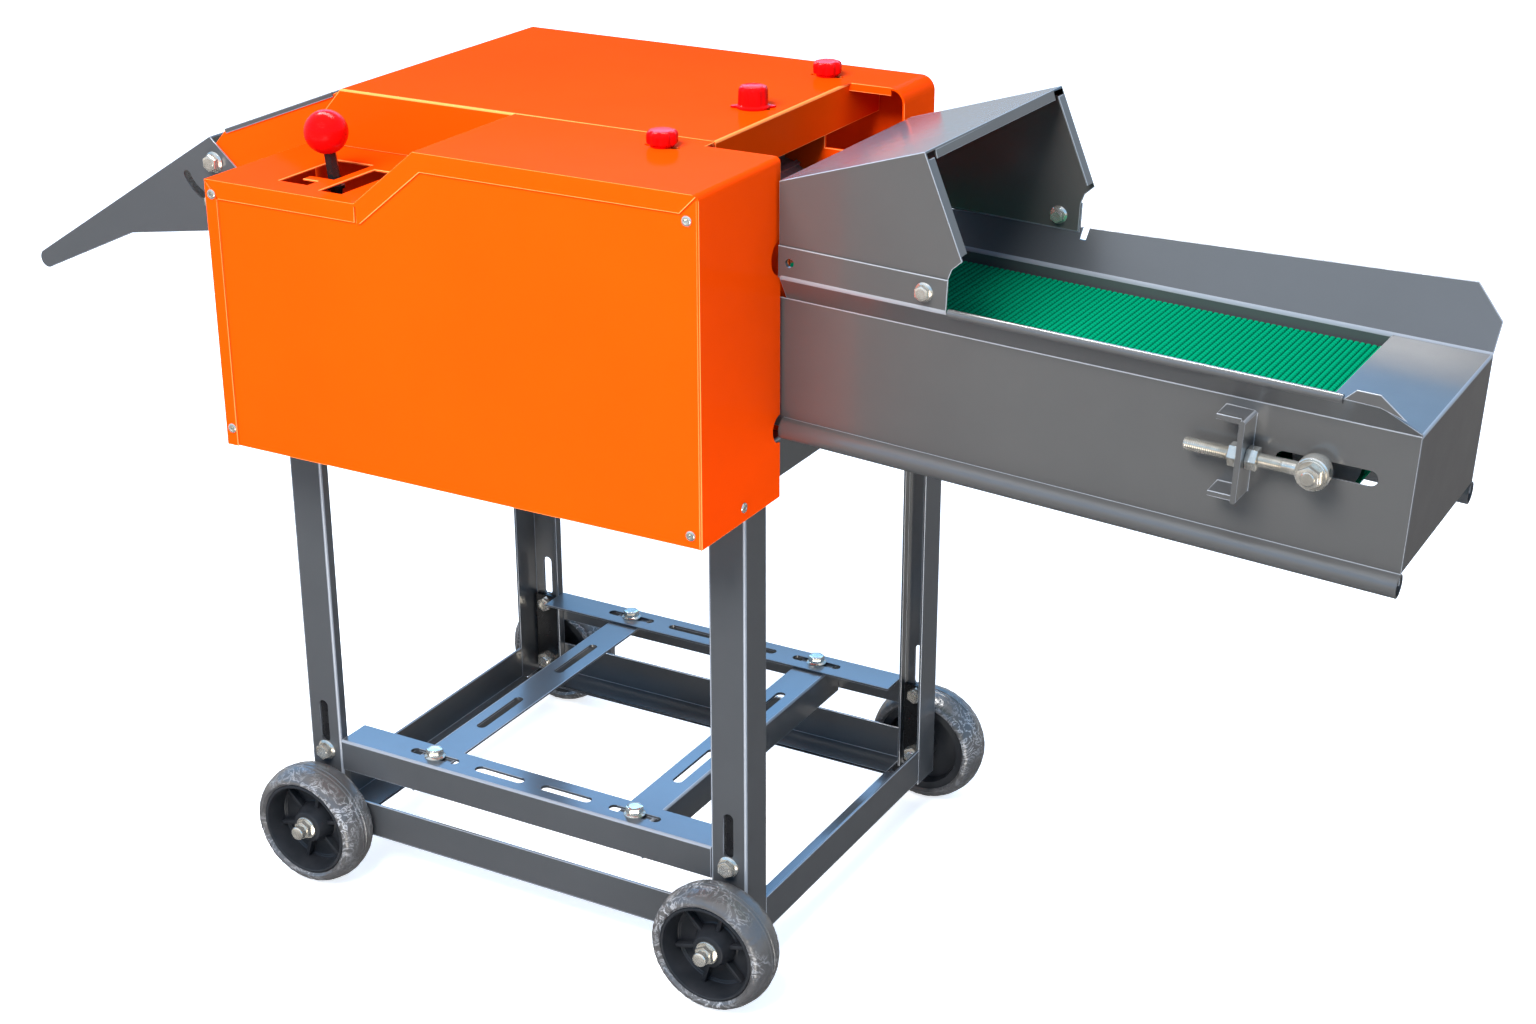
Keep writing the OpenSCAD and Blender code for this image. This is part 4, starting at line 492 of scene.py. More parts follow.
class CHAFF_OT_finishes(Operator):
    """Makes the shader groups and one material for each finish"""

    bl_idname = "chaff.finishes"
    bl_label = "Finishes"

    def execute(self, context):
        colours = context.scene.chaff_colours
        coat_grain_group()
        tone_drift_group()
        painted_edge_highlight_group()
        casing, stand, trough, knob = colours.casing, colours.stand, colours.trough, colours.knob
        # The last tone given to each coat is a painted highlight on its rounded edges
        finish("casing coat", rgba(casing), rgba(casing, 0.93), drift=(5.0, 0.3, 0.7), rough=(0.30, 0.36),
               grain=(420.0, 0.10, 0.6), metallic=0.03, coat=0.04, coat_rough=0.12, specular=0.0,
               tint=(1.0, 0.5, 0.1), edge_highlight=(1.0, 0.24, 0.06, 1.0))
        finish("stand coat", rgba(stand), rgba(stand, 0.86), drift=(7.0, 0.3, 0.7), rough=(0.36, 0.44),
               grain=(700.0, 0.12, 0.5), coat=1.0, coat_rough=0.16, specular=0.8,
               edge_highlight=(0.19, 0.20, 0.22, 1.0))
        # Painted warm light: the stand's grey, warmer and brighter, on the trough front and hood
        finish("stand coat in painted warm light", rgba(trough), rgba(trough, 0.88), drift=(7.0, 0.3, 0.7), rough=(0.34, 0.42),
               grain=(700.0, 0.12, 0.5), coat=1.0, coat_rough=0.16, specular=0.8,
               edge_highlight=(0.21, 0.215, 0.225, 1.0))
        finish("zinc plating", (0.80, 0.75, 0.66, 1.0), (0.52, 0.48, 0.41, 1.0), drift=(60.0, 0.4, 0.7),
               rough=(0.12, 0.22), grain=(900.0, 0.08, 0.3), metallic=0.85)
        finish("bare steel", (0.42, 0.42, 0.43, 1.0), (0.30, 0.29, 0.28, 1.0), drift=(30.0, 0.35, 0.7),
               rough=(0.32, 0.5), grain=(600.0, 0.12, 0.4), metallic=0.9)
        finish("turned iron", (0.14, 0.14, 0.145, 1.0), (0.10, 0.095, 0.09, 1.0), drift=(40.0, 0.35, 0.7),
               rough=(0.45, 0.6), grain=(800.0, 0.2, 0.5), metallic=0.6)
        finish("black oxide", (0.006, 0.006, 0.007, 1.0), (0.010, 0.010, 0.010, 1.0), drift=(40.0, 0.4, 0.7),
               rough=(0.25, 0.35), grain=(900.0, 0.1, 0.3), specular=0.3)
        finish("hub plastic", (0.010, 0.011, 0.013, 1.0), (0.016, 0.016, 0.018, 1.0), drift=(50.0, 0.4, 0.7),
               rough=(0.42, 0.55), grain=(1200.0, 0.15, 0.3))
        finish("knob plastic", rgba(knob), rgba(knob, 0.9), drift=(25.0, 0.4, 0.7), rough=(0.16, 0.24),
               grain=(500.0, 0.05, 0.3), specular=0.1, tint=(1.0, 0.6, 0.6))
        # The second tone is the painted highlight on the tyres' creases
        wrapped_rubber("tyre rubber", rgba(colours.tyre), (0.34, 0.335, 0.34, 1.0))
        # The belt's tone dimmed far down is painted shade between its nubs
        nubbed_belt("belt face", rgba(colours.belt), rgba(colours.belt, 0.14))
        finish("belt rubber", (0.018, 0.018, 0.018, 1.0), (0.03, 0.03, 0.03, 1.0), drift=(40.0, 0.4, 0.7),
               rough=(0.6, 0.75), grain=(900.0, 0.2, 0.4))
        return {"FINISHED"}


COAT_OF = {
    "orange_paint": "casing coat",
    "grey_paint": "stand coat",
    "zinc": "zinc plating",
    "steel": "bare steel",
    "cast_iron": "turned iron",
    "black_steel": "black oxide",
    "black_plastic": "hub plastic",
    "tyre": "tyre rubber",
    "red_plastic": "knob plastic",
    "green_belt": "belt face",
    "black_rubber": "belt rubber",
}


class CHAFF_OT_inner(Operator):
    """Gives every CAD node the finish of its slot"""

    bl_idname = "chaff.inner"
    bl_label = "Solids"

    def execute(self, context):
        for name, solid in frame["nodes"].items():
            coat = bpy.data.materials[COAT_OF[SLOT_OF[name]]]
            for holder in solid.material_slots:
                holder.material = coat
        return {"FINISHED"}


STAND_NODES = ["leg_front_left", "leg_front_right", "leg_back_left", "leg_back_right",
               "lower_rails", "top_rails", "motor_rails", "motor_bars", "axle_plates"]
SHEET_NODES = ["front_side_plate", "back_side_plate", "top_cover", "cover_surround", "cover_panel",
               "chute_roof", "deflector", "trough_front_wall", "trough_back_wall", "end_cap", "feed_hood"]

# Sheets in the stand's grey with painted warm light, and those whose flanges are too narrow for a wide fold
WARM_LIT_NODES = ["trough_front_wall", "feed_hood"]
NARROW_FLANGES = ["feed_hood"]


class CHAFF_OT_stand(Operator):
    """Rounds the edges of the legs, rails and motor bars"""

    bl_idname = "chaff.stand"
    bl_label = "Stand"

    def execute(self, context):
        sizes = context.scene.chaff_sizes
        for node in STAND_NODES:
            # The axle plates are black oxide as painted shade, so the leg slots in front of them read dark
            coat = "black oxide" if node == "axle_plates" else "stand coat"
            soften(node, coat, sizes.rim_round, sizes.fold_round)
        return {"FINISHED"}


class CHAFF_OT_sheets(Operator):
    """Rounds the edges of the casing, chute, trough and hood sheets"""

    bl_idname = "chaff.sheets"
    bl_label = "Sheet metal"

    def execute(self, context):
        sizes = context.scene.chaff_sizes
        for node in SHEET_NODES:
            fold = 0.0 if node in NARROW_FLANGES else sizes.fold_round
            # The trough front and hood take the stand's grey with painted warm light
            coat = "stand coat in painted warm light" if node in WARM_LIT_NODES else COAT_OF[SLOT_OF[node]]
            soften(node, coat, sizes.rim_round, fold)
        return {"FINISHED"}


# Wheels

WHEELS = ["front_left", "front_right", "back_left", "back_right"]

# Sizes of a hub and its axle in mm
BOSS_SUNK = 8.0
BOSS_GAP = 0.3
RIB_START = 17.0
RIB_RIM_GAP = 6.6
RIB_HALF = 2.2
RIB_BASE = -4.0
RIB_TOP = 5.0
RIB_ROUND = 0.9
AXLE_R = 6.0
AXLE_BORE_R = 5.0
SPACER_R = 12.0
TYRE_GAP = 0.1
NUT_BEHIND_LEG = 8.0

# Ripples of a tyre's skin: waves round it, their height in mm, and how they wander and lean
RIPPLE_WAVES = 34.0
RIPPLE_RISE = 0.7
RIPPLE_WANDER = 9.0
RIPPLE_DRIFT = 0.06
RIPPLE_LEAN = 0.22


def half_size(node):
    """Half of a CAD node's box along X and Y, in mm."""
    low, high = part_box(node)
    return (high.x - low.x) / 2 / MM, (high.y - low.y) / 2 / MM


def hub_profile(radius, half):
    """Half section of a dished hub: rolled lip, tapered wall, floor, boss, bore and plain back."""
    lip, floor, boss = half - 2.0, -3.0, half - BOSS_SUNK
    rolled_lip = [(radius, 4.0 - half), (radius, lip - 1.4), (radius - 0.8, lip - 0.4), (radius - 2.2, lip),
                  (radius - 3.4, lip - 0.4), (radius - 3.9, lip - 1.4)]
    dish = [(radius - 7.4, floor + 1.6), (radius - 8.2, floor + 0.9), (radius - 9.6, floor + 0.7),
            (radius - 10.4, floor), (24.0, floor), (22.6, floor + 0.8)]
    bored_boss = [(17.4, boss - 1.8), (16.6, boss - 0.5), (15.4, boss), (6.4, boss), (6.4, 1.0 - half)]
    back = [(14.0, 1.0 - half), (14.6, -9.0), (radius - 10.0, -8.0), (radius - 8.0, 4.0 - half)]
    return rolled_lip + dish + bored_boss + back


def tyre_profile(inner, outer, half):
    """Half section of a round-shouldered solid tyre with two fine ribs in the middle of its tread."""
    crown = inner + 1.0
    shoulder = []
    for step in range(1, 19):
        angle = math.pi / 2 * step / 20
        shoulder.append((crown + (outer - crown - 0.4) * math.sin(angle) ** 0.8, half * math.cos(angle)))
    tread = [(outer - 0.4, 3.4), (outer, 2.8), (outer, 2.2), (outer - 0.9, 1.5)]
    front = [(inner, half - 3.0)] + shoulder + tread
    return front + [(radius, -height) for radius, height in reversed(front)]


def add_hub(mesh_tool, place, ribs, radius, half):
    """A dished hub with ribs from its boss to its wall."""
    add_turned(mesh_tool, hub_profile(radius, half), 96, place, closed=True)
    low = (RIB_START, -RIB_HALF, RIB_BASE)
    high = (radius - RIB_RIM_GAP, RIB_HALF, RIB_TOP)
    for index in range(ribs):
        turn = Matrix.Rotation(math.tau * (index + 0.25) / ribs, 4, "Z")
        add_block(mesh_tool, low, high, place @ turn, RIB_ROUND)


def add_tyre(mesh_tool, place, seed, inner, outer, half):
    """A solid tyre with the slight ripples of its wrapped skin."""
    made = add_turned(mesh_tool, tyre_profile(inner, outer, half), 220, Matrix.Identity(4), closed=True)
    middle = (inner + outer) / 2
    for vert in made:
        radius = math.hypot(vert.co.x, vert.co.y)
        angle = math.atan2(vert.co.y, vert.co.x)
        height = vert.co.z / MM
        east, north = math.cos(angle) * RIPPLE_WANDER, math.sin(angle) * RIPPLE_WANDER
        ripple = noise.noise(Vector((east, north, seed + height * RIPPLE_DRIFT)))
        phase = angle * RIPPLE_WAVES + height * RIPPLE_LEAN + 4.0 * ripple
        wave = math.sin(phase) * (0.45 + 0.55 * ripple)
        shoulder = max(0.0, 1.0 - abs(radius / MM - middle) / (outer - middle))
        scale = 1.0 + wave * RIPPLE_RISE * shoulder * MM / radius
        vert.co.x *= scale
        vert.co.y *= scale
    bmesh.ops.transform(mesh_tool, matrix=place, verts=made)


AXLE_WASHER = [(6.0, 0.0), (11.6, 0.0), (12.0, 0.3), (12.0, 1.7), (11.6, 2.0), (6.0, 2.0)]
AXLE_TIP = [(0.0, 8.4), (7.4, 8.4), (7.4, 15.4), (6.8, 16.4), (5.6, 16.9), (0.0, 17.0)]
AXLE_TAIL = [(0.0, 0.0), (6.0, 0.0), (6.0, 11.4), (5.2, 12.0), (0.0, 12.0)]


def add_axle_end(mesh_tool, place):
    """A washer, a nut and the bolt's rounded end, standing out from a hub's boss."""
    add_turned(mesh_tool, AXLE_WASHER, 40, place, closed=True)
    add_hexagon(mesh_tool, corner_r=10.4, base=2.0, height=6.6, chamfer=0.9, place=place)
    add_turned(mesh_tool, AXLE_TIP, 32, place)


def add_axle(mesh_tool, place, half, leg):
    """An axle bolt with its outer end, its spacer up to the leg and the nut behind the leg."""
    seat = half - BOSS_SUNK + BOSS_GAP
    face = half + BOSS_GAP
    sleeve = [(AXLE_R, -half), (AXLE_R, seat), (AXLE_BORE_R, seat), (AXLE_BORE_R, -half)]
    spacer = [(AXLE_R, -leg), (SPACER_R, -leg), (SPACER_R, -face), (AXLE_R, -face)]
    add_axle_end(mesh_tool, place @ Matrix.Translation((0.0, 0.0, seat * MM)))
    add_turned(mesh_tool, sleeve, 32, place, closed=True)
    add_turned(mesh_tool, spacer, 32, place, closed=True)
    behind = Matrix.Translation((0.0, 0.0, -(leg + NUT_BEHIND_LEG) * MM))
    nut = place @ behind @ Matrix.Rotation(math.pi, 4, "X")
    add_hexagon(mesh_tool, corner_r=10.8, base=0.0, height=9.6, chamfer=0.8, place=nut)
    add_turned(mesh_tool, AXLE_TAIL, 32, nut)


class CHAFF_OT_wheels(Operator):
    """Makes the tyres and hubs of the four wheels, and the axle bolts"""

    bl_idname = "chaff.wheels"
    bl_label = "Wheels"

    def execute(self, context):
        ribs = context.scene.chaff_sizes.hub_ribs
        axles = bmesh.new()
        for seed, corner in enumerate(WHEELS):
            centre = joint_point("wheel_" + corner)
            front = corner.startswith("front")
            place = facing(centre, (0.0, -1.0 if front else 1.0, 0.0))
            hub_r, _ = half_size("wheel_hub_" + corner)
            tyre_r, half = half_size("tyre_" + corner)
            hub = bmesh.new()
            add_hub(hub, place, ribs, hub_r, half)
            mount_piece(finish_mesh(hub, "hub_" + corner, "hub plastic"), "wheel_hub_" + corner)
            tread = bmesh.new()
            add_tyre(tread, place, 7.0 * seed, hub_r + TYRE_GAP, tyre_r, half)
            mount_piece(finish_mesh(tread, "rubber_" + corner, "tyre rubber"), "tyre_" + corner)
            leg_low, leg_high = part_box("leg_" + corner)
            leg = abs((leg_low.y if front else leg_high.y) - centre.y) / MM
            add_axle(axles, place, half, leg)
        mount_piece(finish_mesh(axles, "axle_ends", "zinc plating"), "axle_bolts")
        return {"FINISHED"}


# Fasteners

# Width of a flange bolt's flange and height of its head, as multiples of its size
BOLT_FLANGE = 2.2
BOLT_HEAD = 0.9


def add_flange_bolt(mesh_tool, size, grip, place):
    """A hexagon flange bolt with its seat at the origin, and its nut beyond the grip."""
    flange = [(0.0, 0.0), (1.1 * size, 0.0), (1.1 * size, 0.08 * size), (1.04 * size, 0.14 * size),
              (0.88 * size, 0.24 * size), (0.0, 0.24 * size)]
    crown = [(0.0, 0.87 * size), (0.56 * size, 0.87 * size), (0.6 * size, 0.84 * size)]
    shank = [(0.5 * size, 0.0), (0.5 * size, grip + 0.84 * size), (0.44 * size, grip + 0.9 * size),
             (0.0, grip + 0.9 * size)]
    tail = place @ Matrix.Rotation(math.pi, 4, "X")
    add_turned(mesh_tool, flange, 40, place)
    add_hexagon(mesh_tool, 0.9 * size, 0.2 * size, 0.66 * size, 0.08 * size, place)
    add_turned(mesh_tool, crown, 32, place)
    add_turned(mesh_tool, shank, 28, tail)
    add_hexagon(mesh_tool, 0.9 * size, grip, 0.8 * size, 0.08 * size, tail)


def bolt_in_box(mesh_tool, low, high, towards):
    """A flange bolt that fills the box of a CAD bolt, with its head in one direction along its length."""
    size = high - low
    axis = max(range(3), key=lambda i: abs(towards[i]))
    across = max(size[i] for i in range(3) if i != axis) / BOLT_FLANGE
    head = BOLT_HEAD * across
    seat = (low + high) / 2
    seat[axis] = high[axis] - head if towards[axis] > 0.0 else low[axis] + head
    grip = size[axis] - 2.0 * head
    add_flange_bolt(mesh_tool, across / MM, grip / MM, facing(seat, towards))


def outward(low, high):
    """The side of the machine, front or back, that a box lies on."""
    return (0.0, -1.0 if low.y + high.y < 0.0 else 1.0, 0.0)


RIVET_PROFILE = [(2.2, -4.4), (2.2, 0.0), (4.9, 0.0), (5.0, 0.3), (4.7, 0.9), (4.0, 1.4), (3.2, 1.6),
                 (2.4, 1.5), (2.0, 1.1), (1.9, -1.6), (0.0, -1.6)]
RIVET_HEAD = 1.6
UPRIGHT_RATIO = 1.02


class CHAFF_OT_fasteners(Operator):
    """Makes the flange bolts of the stand and the deflector, and the rivets of the front cover"""

    bl_idname = "chaff.fasteners"
    bl_label = "Bolts and rivets"

    def execute(self, context):
        for node in ("frame_bolts", "deflector_bolts"):
            mesh_tool = bmesh.new()
            for low, high in islands(node):
                upright = high.z - low.z > (high.x - low.x) * UPRIGHT_RATIO
                bolt_in_box(mesh_tool, low, high, (0.0, 0.0, 1.0) if upright else outward(low, high))
            mount_piece(finish_mesh(mesh_tool, "hexagon_" + node, "zinc plating"), node)
        rivets = bmesh.new()
        for low, high in islands("cover_rivets"):
            middle = (low + high) / 2
            if high.y - low.y > high.x - low.x:
                place = facing((high.x - RIVET_HEAD * MM, middle.y, middle.z), (1.0, 0.0, 0.0))
            else:
                place = facing((middle.x, low.y + RIVET_HEAD * MM, middle.z), (0.0, -1.0, 0.0))
            add_turned(rivets, RIVET_PROFILE, 32, place)
        mount_piece(finish_mesh(rivets, "blind_rivets", "zinc plating"), "cover_rivets")
        return {"FINISHED"}


# Conveyor

BELT_ROWS = 236
BELT_COLUMNS = 38
BELT_INNER_R = 30.3
BELT_THICK = 4.0

# How far from the belt's middle its rows are shifted, as a share of its width, and how far they wander
SHIFT_LIMIT = 0.49
NUB_WANDER = 0.35

# Each step up a nub: inset in mm, share of the rise, and level for the painted shade between nubs
NUB_STEPS = [(0.75, 0.62, 0.7), (0.85, 0.38, 1.0)]


def trough_axes():
    """The drive and tail roller centres, and the directions along and out of the belt's upper run."""
    drive, tail = joint_point("conveyor_drive"), joint_point("tail")
    along = (tail - drive).normalized()
    up = Vector((-along.z, 0.0, along.x))
    return drive, tail, along, up


def on_loop(share, radius):
    """The point at a share of the way round a loop that runs over both rollers."""
    drive, tail, along, up = trough_axes()
    run = (tail - drive).length
    arc = math.pi * radius
    way = share * 2.0 * (run + arc)
    if way < run:
        return drive + along * way + up * radius
    way -= run
    if way < arc:
        out = up * math.cos(way / radius) + along * math.sin(way / radius)
        return tail + out * radius
    way -= arc
    if way < run:
        return tail - along * way - up * radius
    way -= run
    out = -up * math.cos(way / radius) - along * math.sin(way / radius)
    return drive + out * radius


def lay_belt(mesh_tool, middle, width, radius):
    """Bends a grid round the rollers, with every other row shifted by half a nub, and closes its ends."""
    bmesh.ops.create_grid(mesh_tool, x_segments=BELT_ROWS, y_segments=BELT_COLUMNS, size=0.5)
    half_row = 0.5 / BELT_COLUMNS
    for vert in mesh_tool.verts:
        share, across = vert.co.x + 0.5, vert.co.y
        row = round(share * BELT_ROWS)
        inside = abs(across) < SHIFT_LIMIT
        wander = noise.noise(Vector((share * 90.0, across * 30.0, 3.0))) * NUB_WANDER
        shift = half_row * ((row % 2) - 0.5 + wander) if inside else 0.0
        point = on_loop(share % 1.0, radius)
        vert.co = point + Vector((0.0, (across + shift) * width - point.y + middle, 0.0))
    bmesh.ops.remove_doubles(mesh_tool, verts=mesh_tool.verts, dist=BELT_MERGE)
    bmesh.ops.recalc_face_normals(mesh_tool, faces=mesh_tool.faces)


def raise_nubs(mesh_tool, rise):
    """Raises every cell of the belt in steps, and notes each step's level for the painted shade between nubs.
    """
    nub = mesh_tool.verts.layers.float.new("nub")
    cells = list(mesh_tool.faces)
    for thickness, depth, level in NUB_STEPS:
        bmesh.ops.inset_individual(
            mesh_tool, faces=cells, thickness=thickness * MM, depth=depth * rise, use_even_offset=True)
        for face in cells:
            for vert in face.verts:
                vert[nub] = level


def close_inside(mesh_tool):
    """Draws the belt's edges in to its inner face and closes that face."""
    rim = [e for e in mesh_tool.edges if e.is_boundary]
    walls = bmesh.ops.extrude_edge_only(mesh_tool, edges=rim)["geom"]
    drive, tail, along, _ = trough_axes()
    for vert in (g for g in walls if isinstance(g, bmesh.types.BMVert)):
        reach = (vert.co - drive).dot(along)
        reach = min(max(reach, 0.0), (tail - drive).length)
        axis = drive + along * reach
        out = Vector((vert.co.x - axis.x, 0.0, vert.co.z - axis.z)).normalized()
        vert.co = Vector((axis.x, vert.co.y, axis.z)) + out * BELT_INNER_R * MM
    inner = [e for e in mesh_tool.edges if e.is_boundary]
    bmesh.ops.bridge_loops(mesh_tool, edges=inner)


class CHAFF_OT_belt(Operator):
    """Makes the conveyor belt as a closed loop with rows of raised nubs"""

    bl_idname = "chaff.belt"
    bl_label = "Conveyor belt"

    def execute(self, context):
        rise = context.scene.chaff_sizes.nub_rise
        low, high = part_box("conveyor_belt")
        mesh_tool = bmesh.new()
        lay_belt(mesh_tool, (low.y + high.y) / 2, high.y - low.y, (BELT_INNER_R + BELT_THICK) * MM - rise)
        raise_nubs(mesh_tool, rise)
        close_inside(mesh_tool)
        mount_piece(finish_mesh(mesh_tool, "rough_belt", "belt face", sharp=math.pi), "conveyor_belt")
        return {"FINISHED"}


# Tensioner: thread and nut sizes in mm, and half sections about the tail axle or along the rod
THREAD_R = 6.0
THREAD_DEPTH = 0.85
THREAD_PITCH = 1.75
THREAD_START = 26.0
THREAD_END = 112.0
NUT_CORNER_R = 10.5
NUT_HALF = 5.0
NUT_WIDEST = 13.0
EYE_INSET = 19.0
AXLE_INSET = 4.0
EYE_PROFILE = [(6.0, -7.0), (13.6, -7.0), (14.6, -6.2), (15.0, -5.0), (15.0, 5.0), (14.6, 6.2), (13.6, 7.0),
               (6.0, 7.0)]
EYE_SPACER = [(6.0, -12.6), (12.0, -12.6), (12.0, -7.0), (6.0, -7.0)]
EYE_WASHER = [(6.0, 7.0), (12.4, 7.0), (12.7, 7.4), (12.7, 8.6), (12.3, 9.0), (6.0, 9.0)]
EYE_TIP = [(0.0, 16.0), (6.0, 16.0), (6.0, 18.2), (5.2, 19.0), (0.0, 19.0)]
ROD_SHANK = [(0.0, 8.0), (6.0, 8.0), (6.0, 26.0), (5.2, 27.0), (0.0, 27.0)]


def add_thread(mesh_tool, start, end, place):
    """A threaded rod along +Z, as a row of fine ridges."""
    profile = [(0.0, start)]
    turns = int((end - start) / THREAD_PITCH)
    for turn in range(turns):
        base = start + turn * THREAD_PITCH
        profile.append((THREAD_R - THREAD_DEPTH, base))
        profile.append((THREAD_R, base + 0.45 * THREAD_PITCH))
        profile.append((THREAD_R, base + 0.6 * THREAD_PITCH))
    profile += [(THREAD_R - THREAD_DEPTH, end - 0.4), (THREAD_R - 1.4, end), (0.0, end)]
    add_turned(mesh_tool, profile, 28, place)


def add_eye_bolt(mesh_tool, at, side, along):
    """An eye round the tail axle with spacer, washer and nut, and its threaded rod along the trough."""
    eye = facing(at, (0.0, side, 0.0))
    add_turned(mesh_tool, EYE_PROFILE, 48, eye, closed=True)
    add_turned(mesh_tool, EYE_SPACER, 36, eye, closed=True)
    add_turned(mesh_tool, EYE_WASHER, 40, eye, closed=True)
    add_hexagon(mesh_tool, NUT_CORNER_R, base=9.0, height=8.0, chamfer=0.9, place=eye)
    add_turned(mesh_tool, EYE_TIP, 28, eye)
    rod = facing(at, -along)
    add_turned(mesh_tool, ROD_SHANK, 28, rod)
    add_thread(mesh_tool, THREAD_START, THREAD_END, rod)


class CHAFF_OT_tensioner(Operator):
    """Makes the threaded eye bolts, the tail axle and its nuts, and the trough's own bolts"""

    bl_idname = "chaff.tensioner"
    bl_label = "Belt tensioner"

    def execute(self, context):
        _, tail, along, _ = trough_axes()
        low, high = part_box("belt_tensioner")
        mesh_tool = bmesh.new()
        end = (high.y - low.y) / MM - AXLE_INSET
        axle = [(0.0, AXLE_INSET), (AXLE_R, AXLE_INSET), (AXLE_R, end), (0.0, end)]
        add_turned(mesh_tool, axle, 36, facing((tail.x, low.y, tail.z), (0.0, 1.0, 0.0)))
        for edge, side in ((low.y, -1.0), (high.y, 1.0)):
            add_eye_bolt(mesh_tool, (tail.x, edge - side * EYE_INSET * MM, tail.z), side, along)
        mount_piece(finish_mesh(mesh_tool, "eye_bolts", "zinc plating"), "belt_tensioner")
        nuts = bmesh.new()
        for low, high in islands("trough_fasteners"):
            if high.x - low.x < NUT_WIDEST * MM:
                place = facing((low + high) / 2, along)
                for flip in (1.0, -1.0):
                    half = place @ Matrix.Diagonal((1.0, 1.0, flip, 1.0))
                    add_hexagon(nuts, NUT_CORNER_R, base=0.0, height=NUT_HALF, chamfer=0.8, place=half)
            else:
                bolt_in_box(nuts, low, high, (0.0, -1.0, 0.0))
        mount_piece(finish_mesh(nuts, "trough_bolts", "zinc plating"), "trough_fasteners")
        return {"FINISHED"}


# Controls

STAR_PROFILE = [(4.2, 0.0), (10.5, 0.0), (11.2, 0.6), (11.2, 2.4), (13.8, 3.2), (14.6, 4.2), (14.8, 10.4),
                (14.2, 12.8), (12.8, 14.2), (10.8, 14.9), (5.0, 15.0), (0.0, 15.0)]
CAP_PROFILE = [(4.2, 0.0), (16.0, 0.0), (16.4, 0.5), (16.4, 1.9), (15.6, 2.8), (14.9, 3.6), (14.4, 16.4),
               (13.9, 18.8), (12.6, 20.3), (10.6, 20.9), (9.6, 20.5), (0.0, 20.4)]

# Each knob's half section, the depth of its finger flats and the length of its lugs, as shares of its radius
KNOBS = [("knob_front", STAR_PROFILE, 0.12, 0.0), ("knob_middle", CAP_PROFILE, 0.06, 0.32),
         ("knob_back", STAR_PROFILE, 0.12, 0.0)]
KNOB_LOBES = 8
EAR_TURN = math.radians(29)

# Where a knob's flats begin and how far they take to deepen, and the reach of its base flange, in mm
FLATS_R = 9.0
FLATS_R_FADE = 4.0
FLATS_Z_FADE = 1.4
FLANGE_R = 15.5
FLANGE_TOP = 2.6
LEVER_ROUND = 0.5 * MM


def share_of(value, start, span):
    """How far a value lies along a span, between nought and one."""
    return max(0.0, min(1.0, (value - start) / span))


def add_knob(mesh_tool, profile, depth, ears, place):
    """A moulded knob whose sides swell between finger flats; ears are two lugs drawn out of its base."""
    made = add_turned(mesh_tool, profile, 96, Matrix.Identity(4))
    for vert in made:
        angle = math.atan2(vert.co.y, vert.co.x)
        radius = math.hypot(vert.co.x, vert.co.y) / MM
        height = vert.co.z / MM
        grip = share_of(radius, FLATS_R, FLATS_R_FADE) * share_of(height, FLANGE_TOP, FLATS_Z_FADE)
        scale = 1.0 - depth * grip * (0.5 - 0.5 * math.cos(KNOB_LOBES * angle)) ** 1.6
        if radius > FLANGE_R and height < FLANGE_TOP:
            scale += ears * max(0.0, math.cos(2.0 * (angle - EAR_TURN))) ** 24
        vert.co.x *= scale
        vert.co.y *= scale
    bmesh.ops.transform(mesh_tool, matrix=place, verts=made)


class CHAFF_OT_controls(Operator):
    """Makes the clamp knobs, the shift lever and its ball"""

    bl_idname = "chaff.controls"
    bl_label = "Knobs and lever"

    def execute(self, context):
        for node, profile, depth, ears in KNOBS:
            low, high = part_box(node)
            mesh_tool = bmesh.new()
            place = Matrix.Translation(((low.x + high.x) / 2, (low.y + high.y) / 2, low.z))
            add_knob(mesh_tool, profile, depth, ears, place)
            mount_piece(finish_mesh(mesh_tool, "moulded_" + node, "knob plastic"), node)
        soften("shift_lever", "black oxide", LEVER_ROUND)
        low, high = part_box("lever_ball")
        radius = (high.x - low.x) / 2
        ball = bmesh.new()
        centre = Vector(((low.x + high.x) / 2, (low.y + high.y) / 2, high.z - radius))
        bmesh.ops.create_uvsphere(
            ball, u_segments=64, v_segments=40, radius=radius, matrix=Matrix.Translation(centre))
        mount_piece(finish_mesh(ball, "ball_grip", "knob plastic"), "lever_ball")
        return {"FINISHED"}


# Studio

CAMERA_AT = (1.190987, -1.99907, 1.39863)
CAMERA_TILT = 23.01
CAMERA_TURN = 29.04
CAMERA_LENS = 57.66
FLOOR_SIZE = 14.0
FLOOR_GLOW = 0.7
SKY_BLUE = (0.22, 0.52, 1.0)
SKY_BANDS = [(0.0, (0.04, 0.04, 0.04)), (0.33, (0.14, 0.13, 0.12)), (0.47, (0.46, 0.44, 0.42)),
             (0.54, (0.50, 0.55, 0.60)), (0.62, (0.22, 0.56, 1.0)), (0.76, (0.30, 0.56, 0.92)),
             (1.0, (0.82, 0.84, 0.88))]
SKY_STRENGTH = 1.2
REFLECTOR_AT = (0.474, -0.788, -0.39)


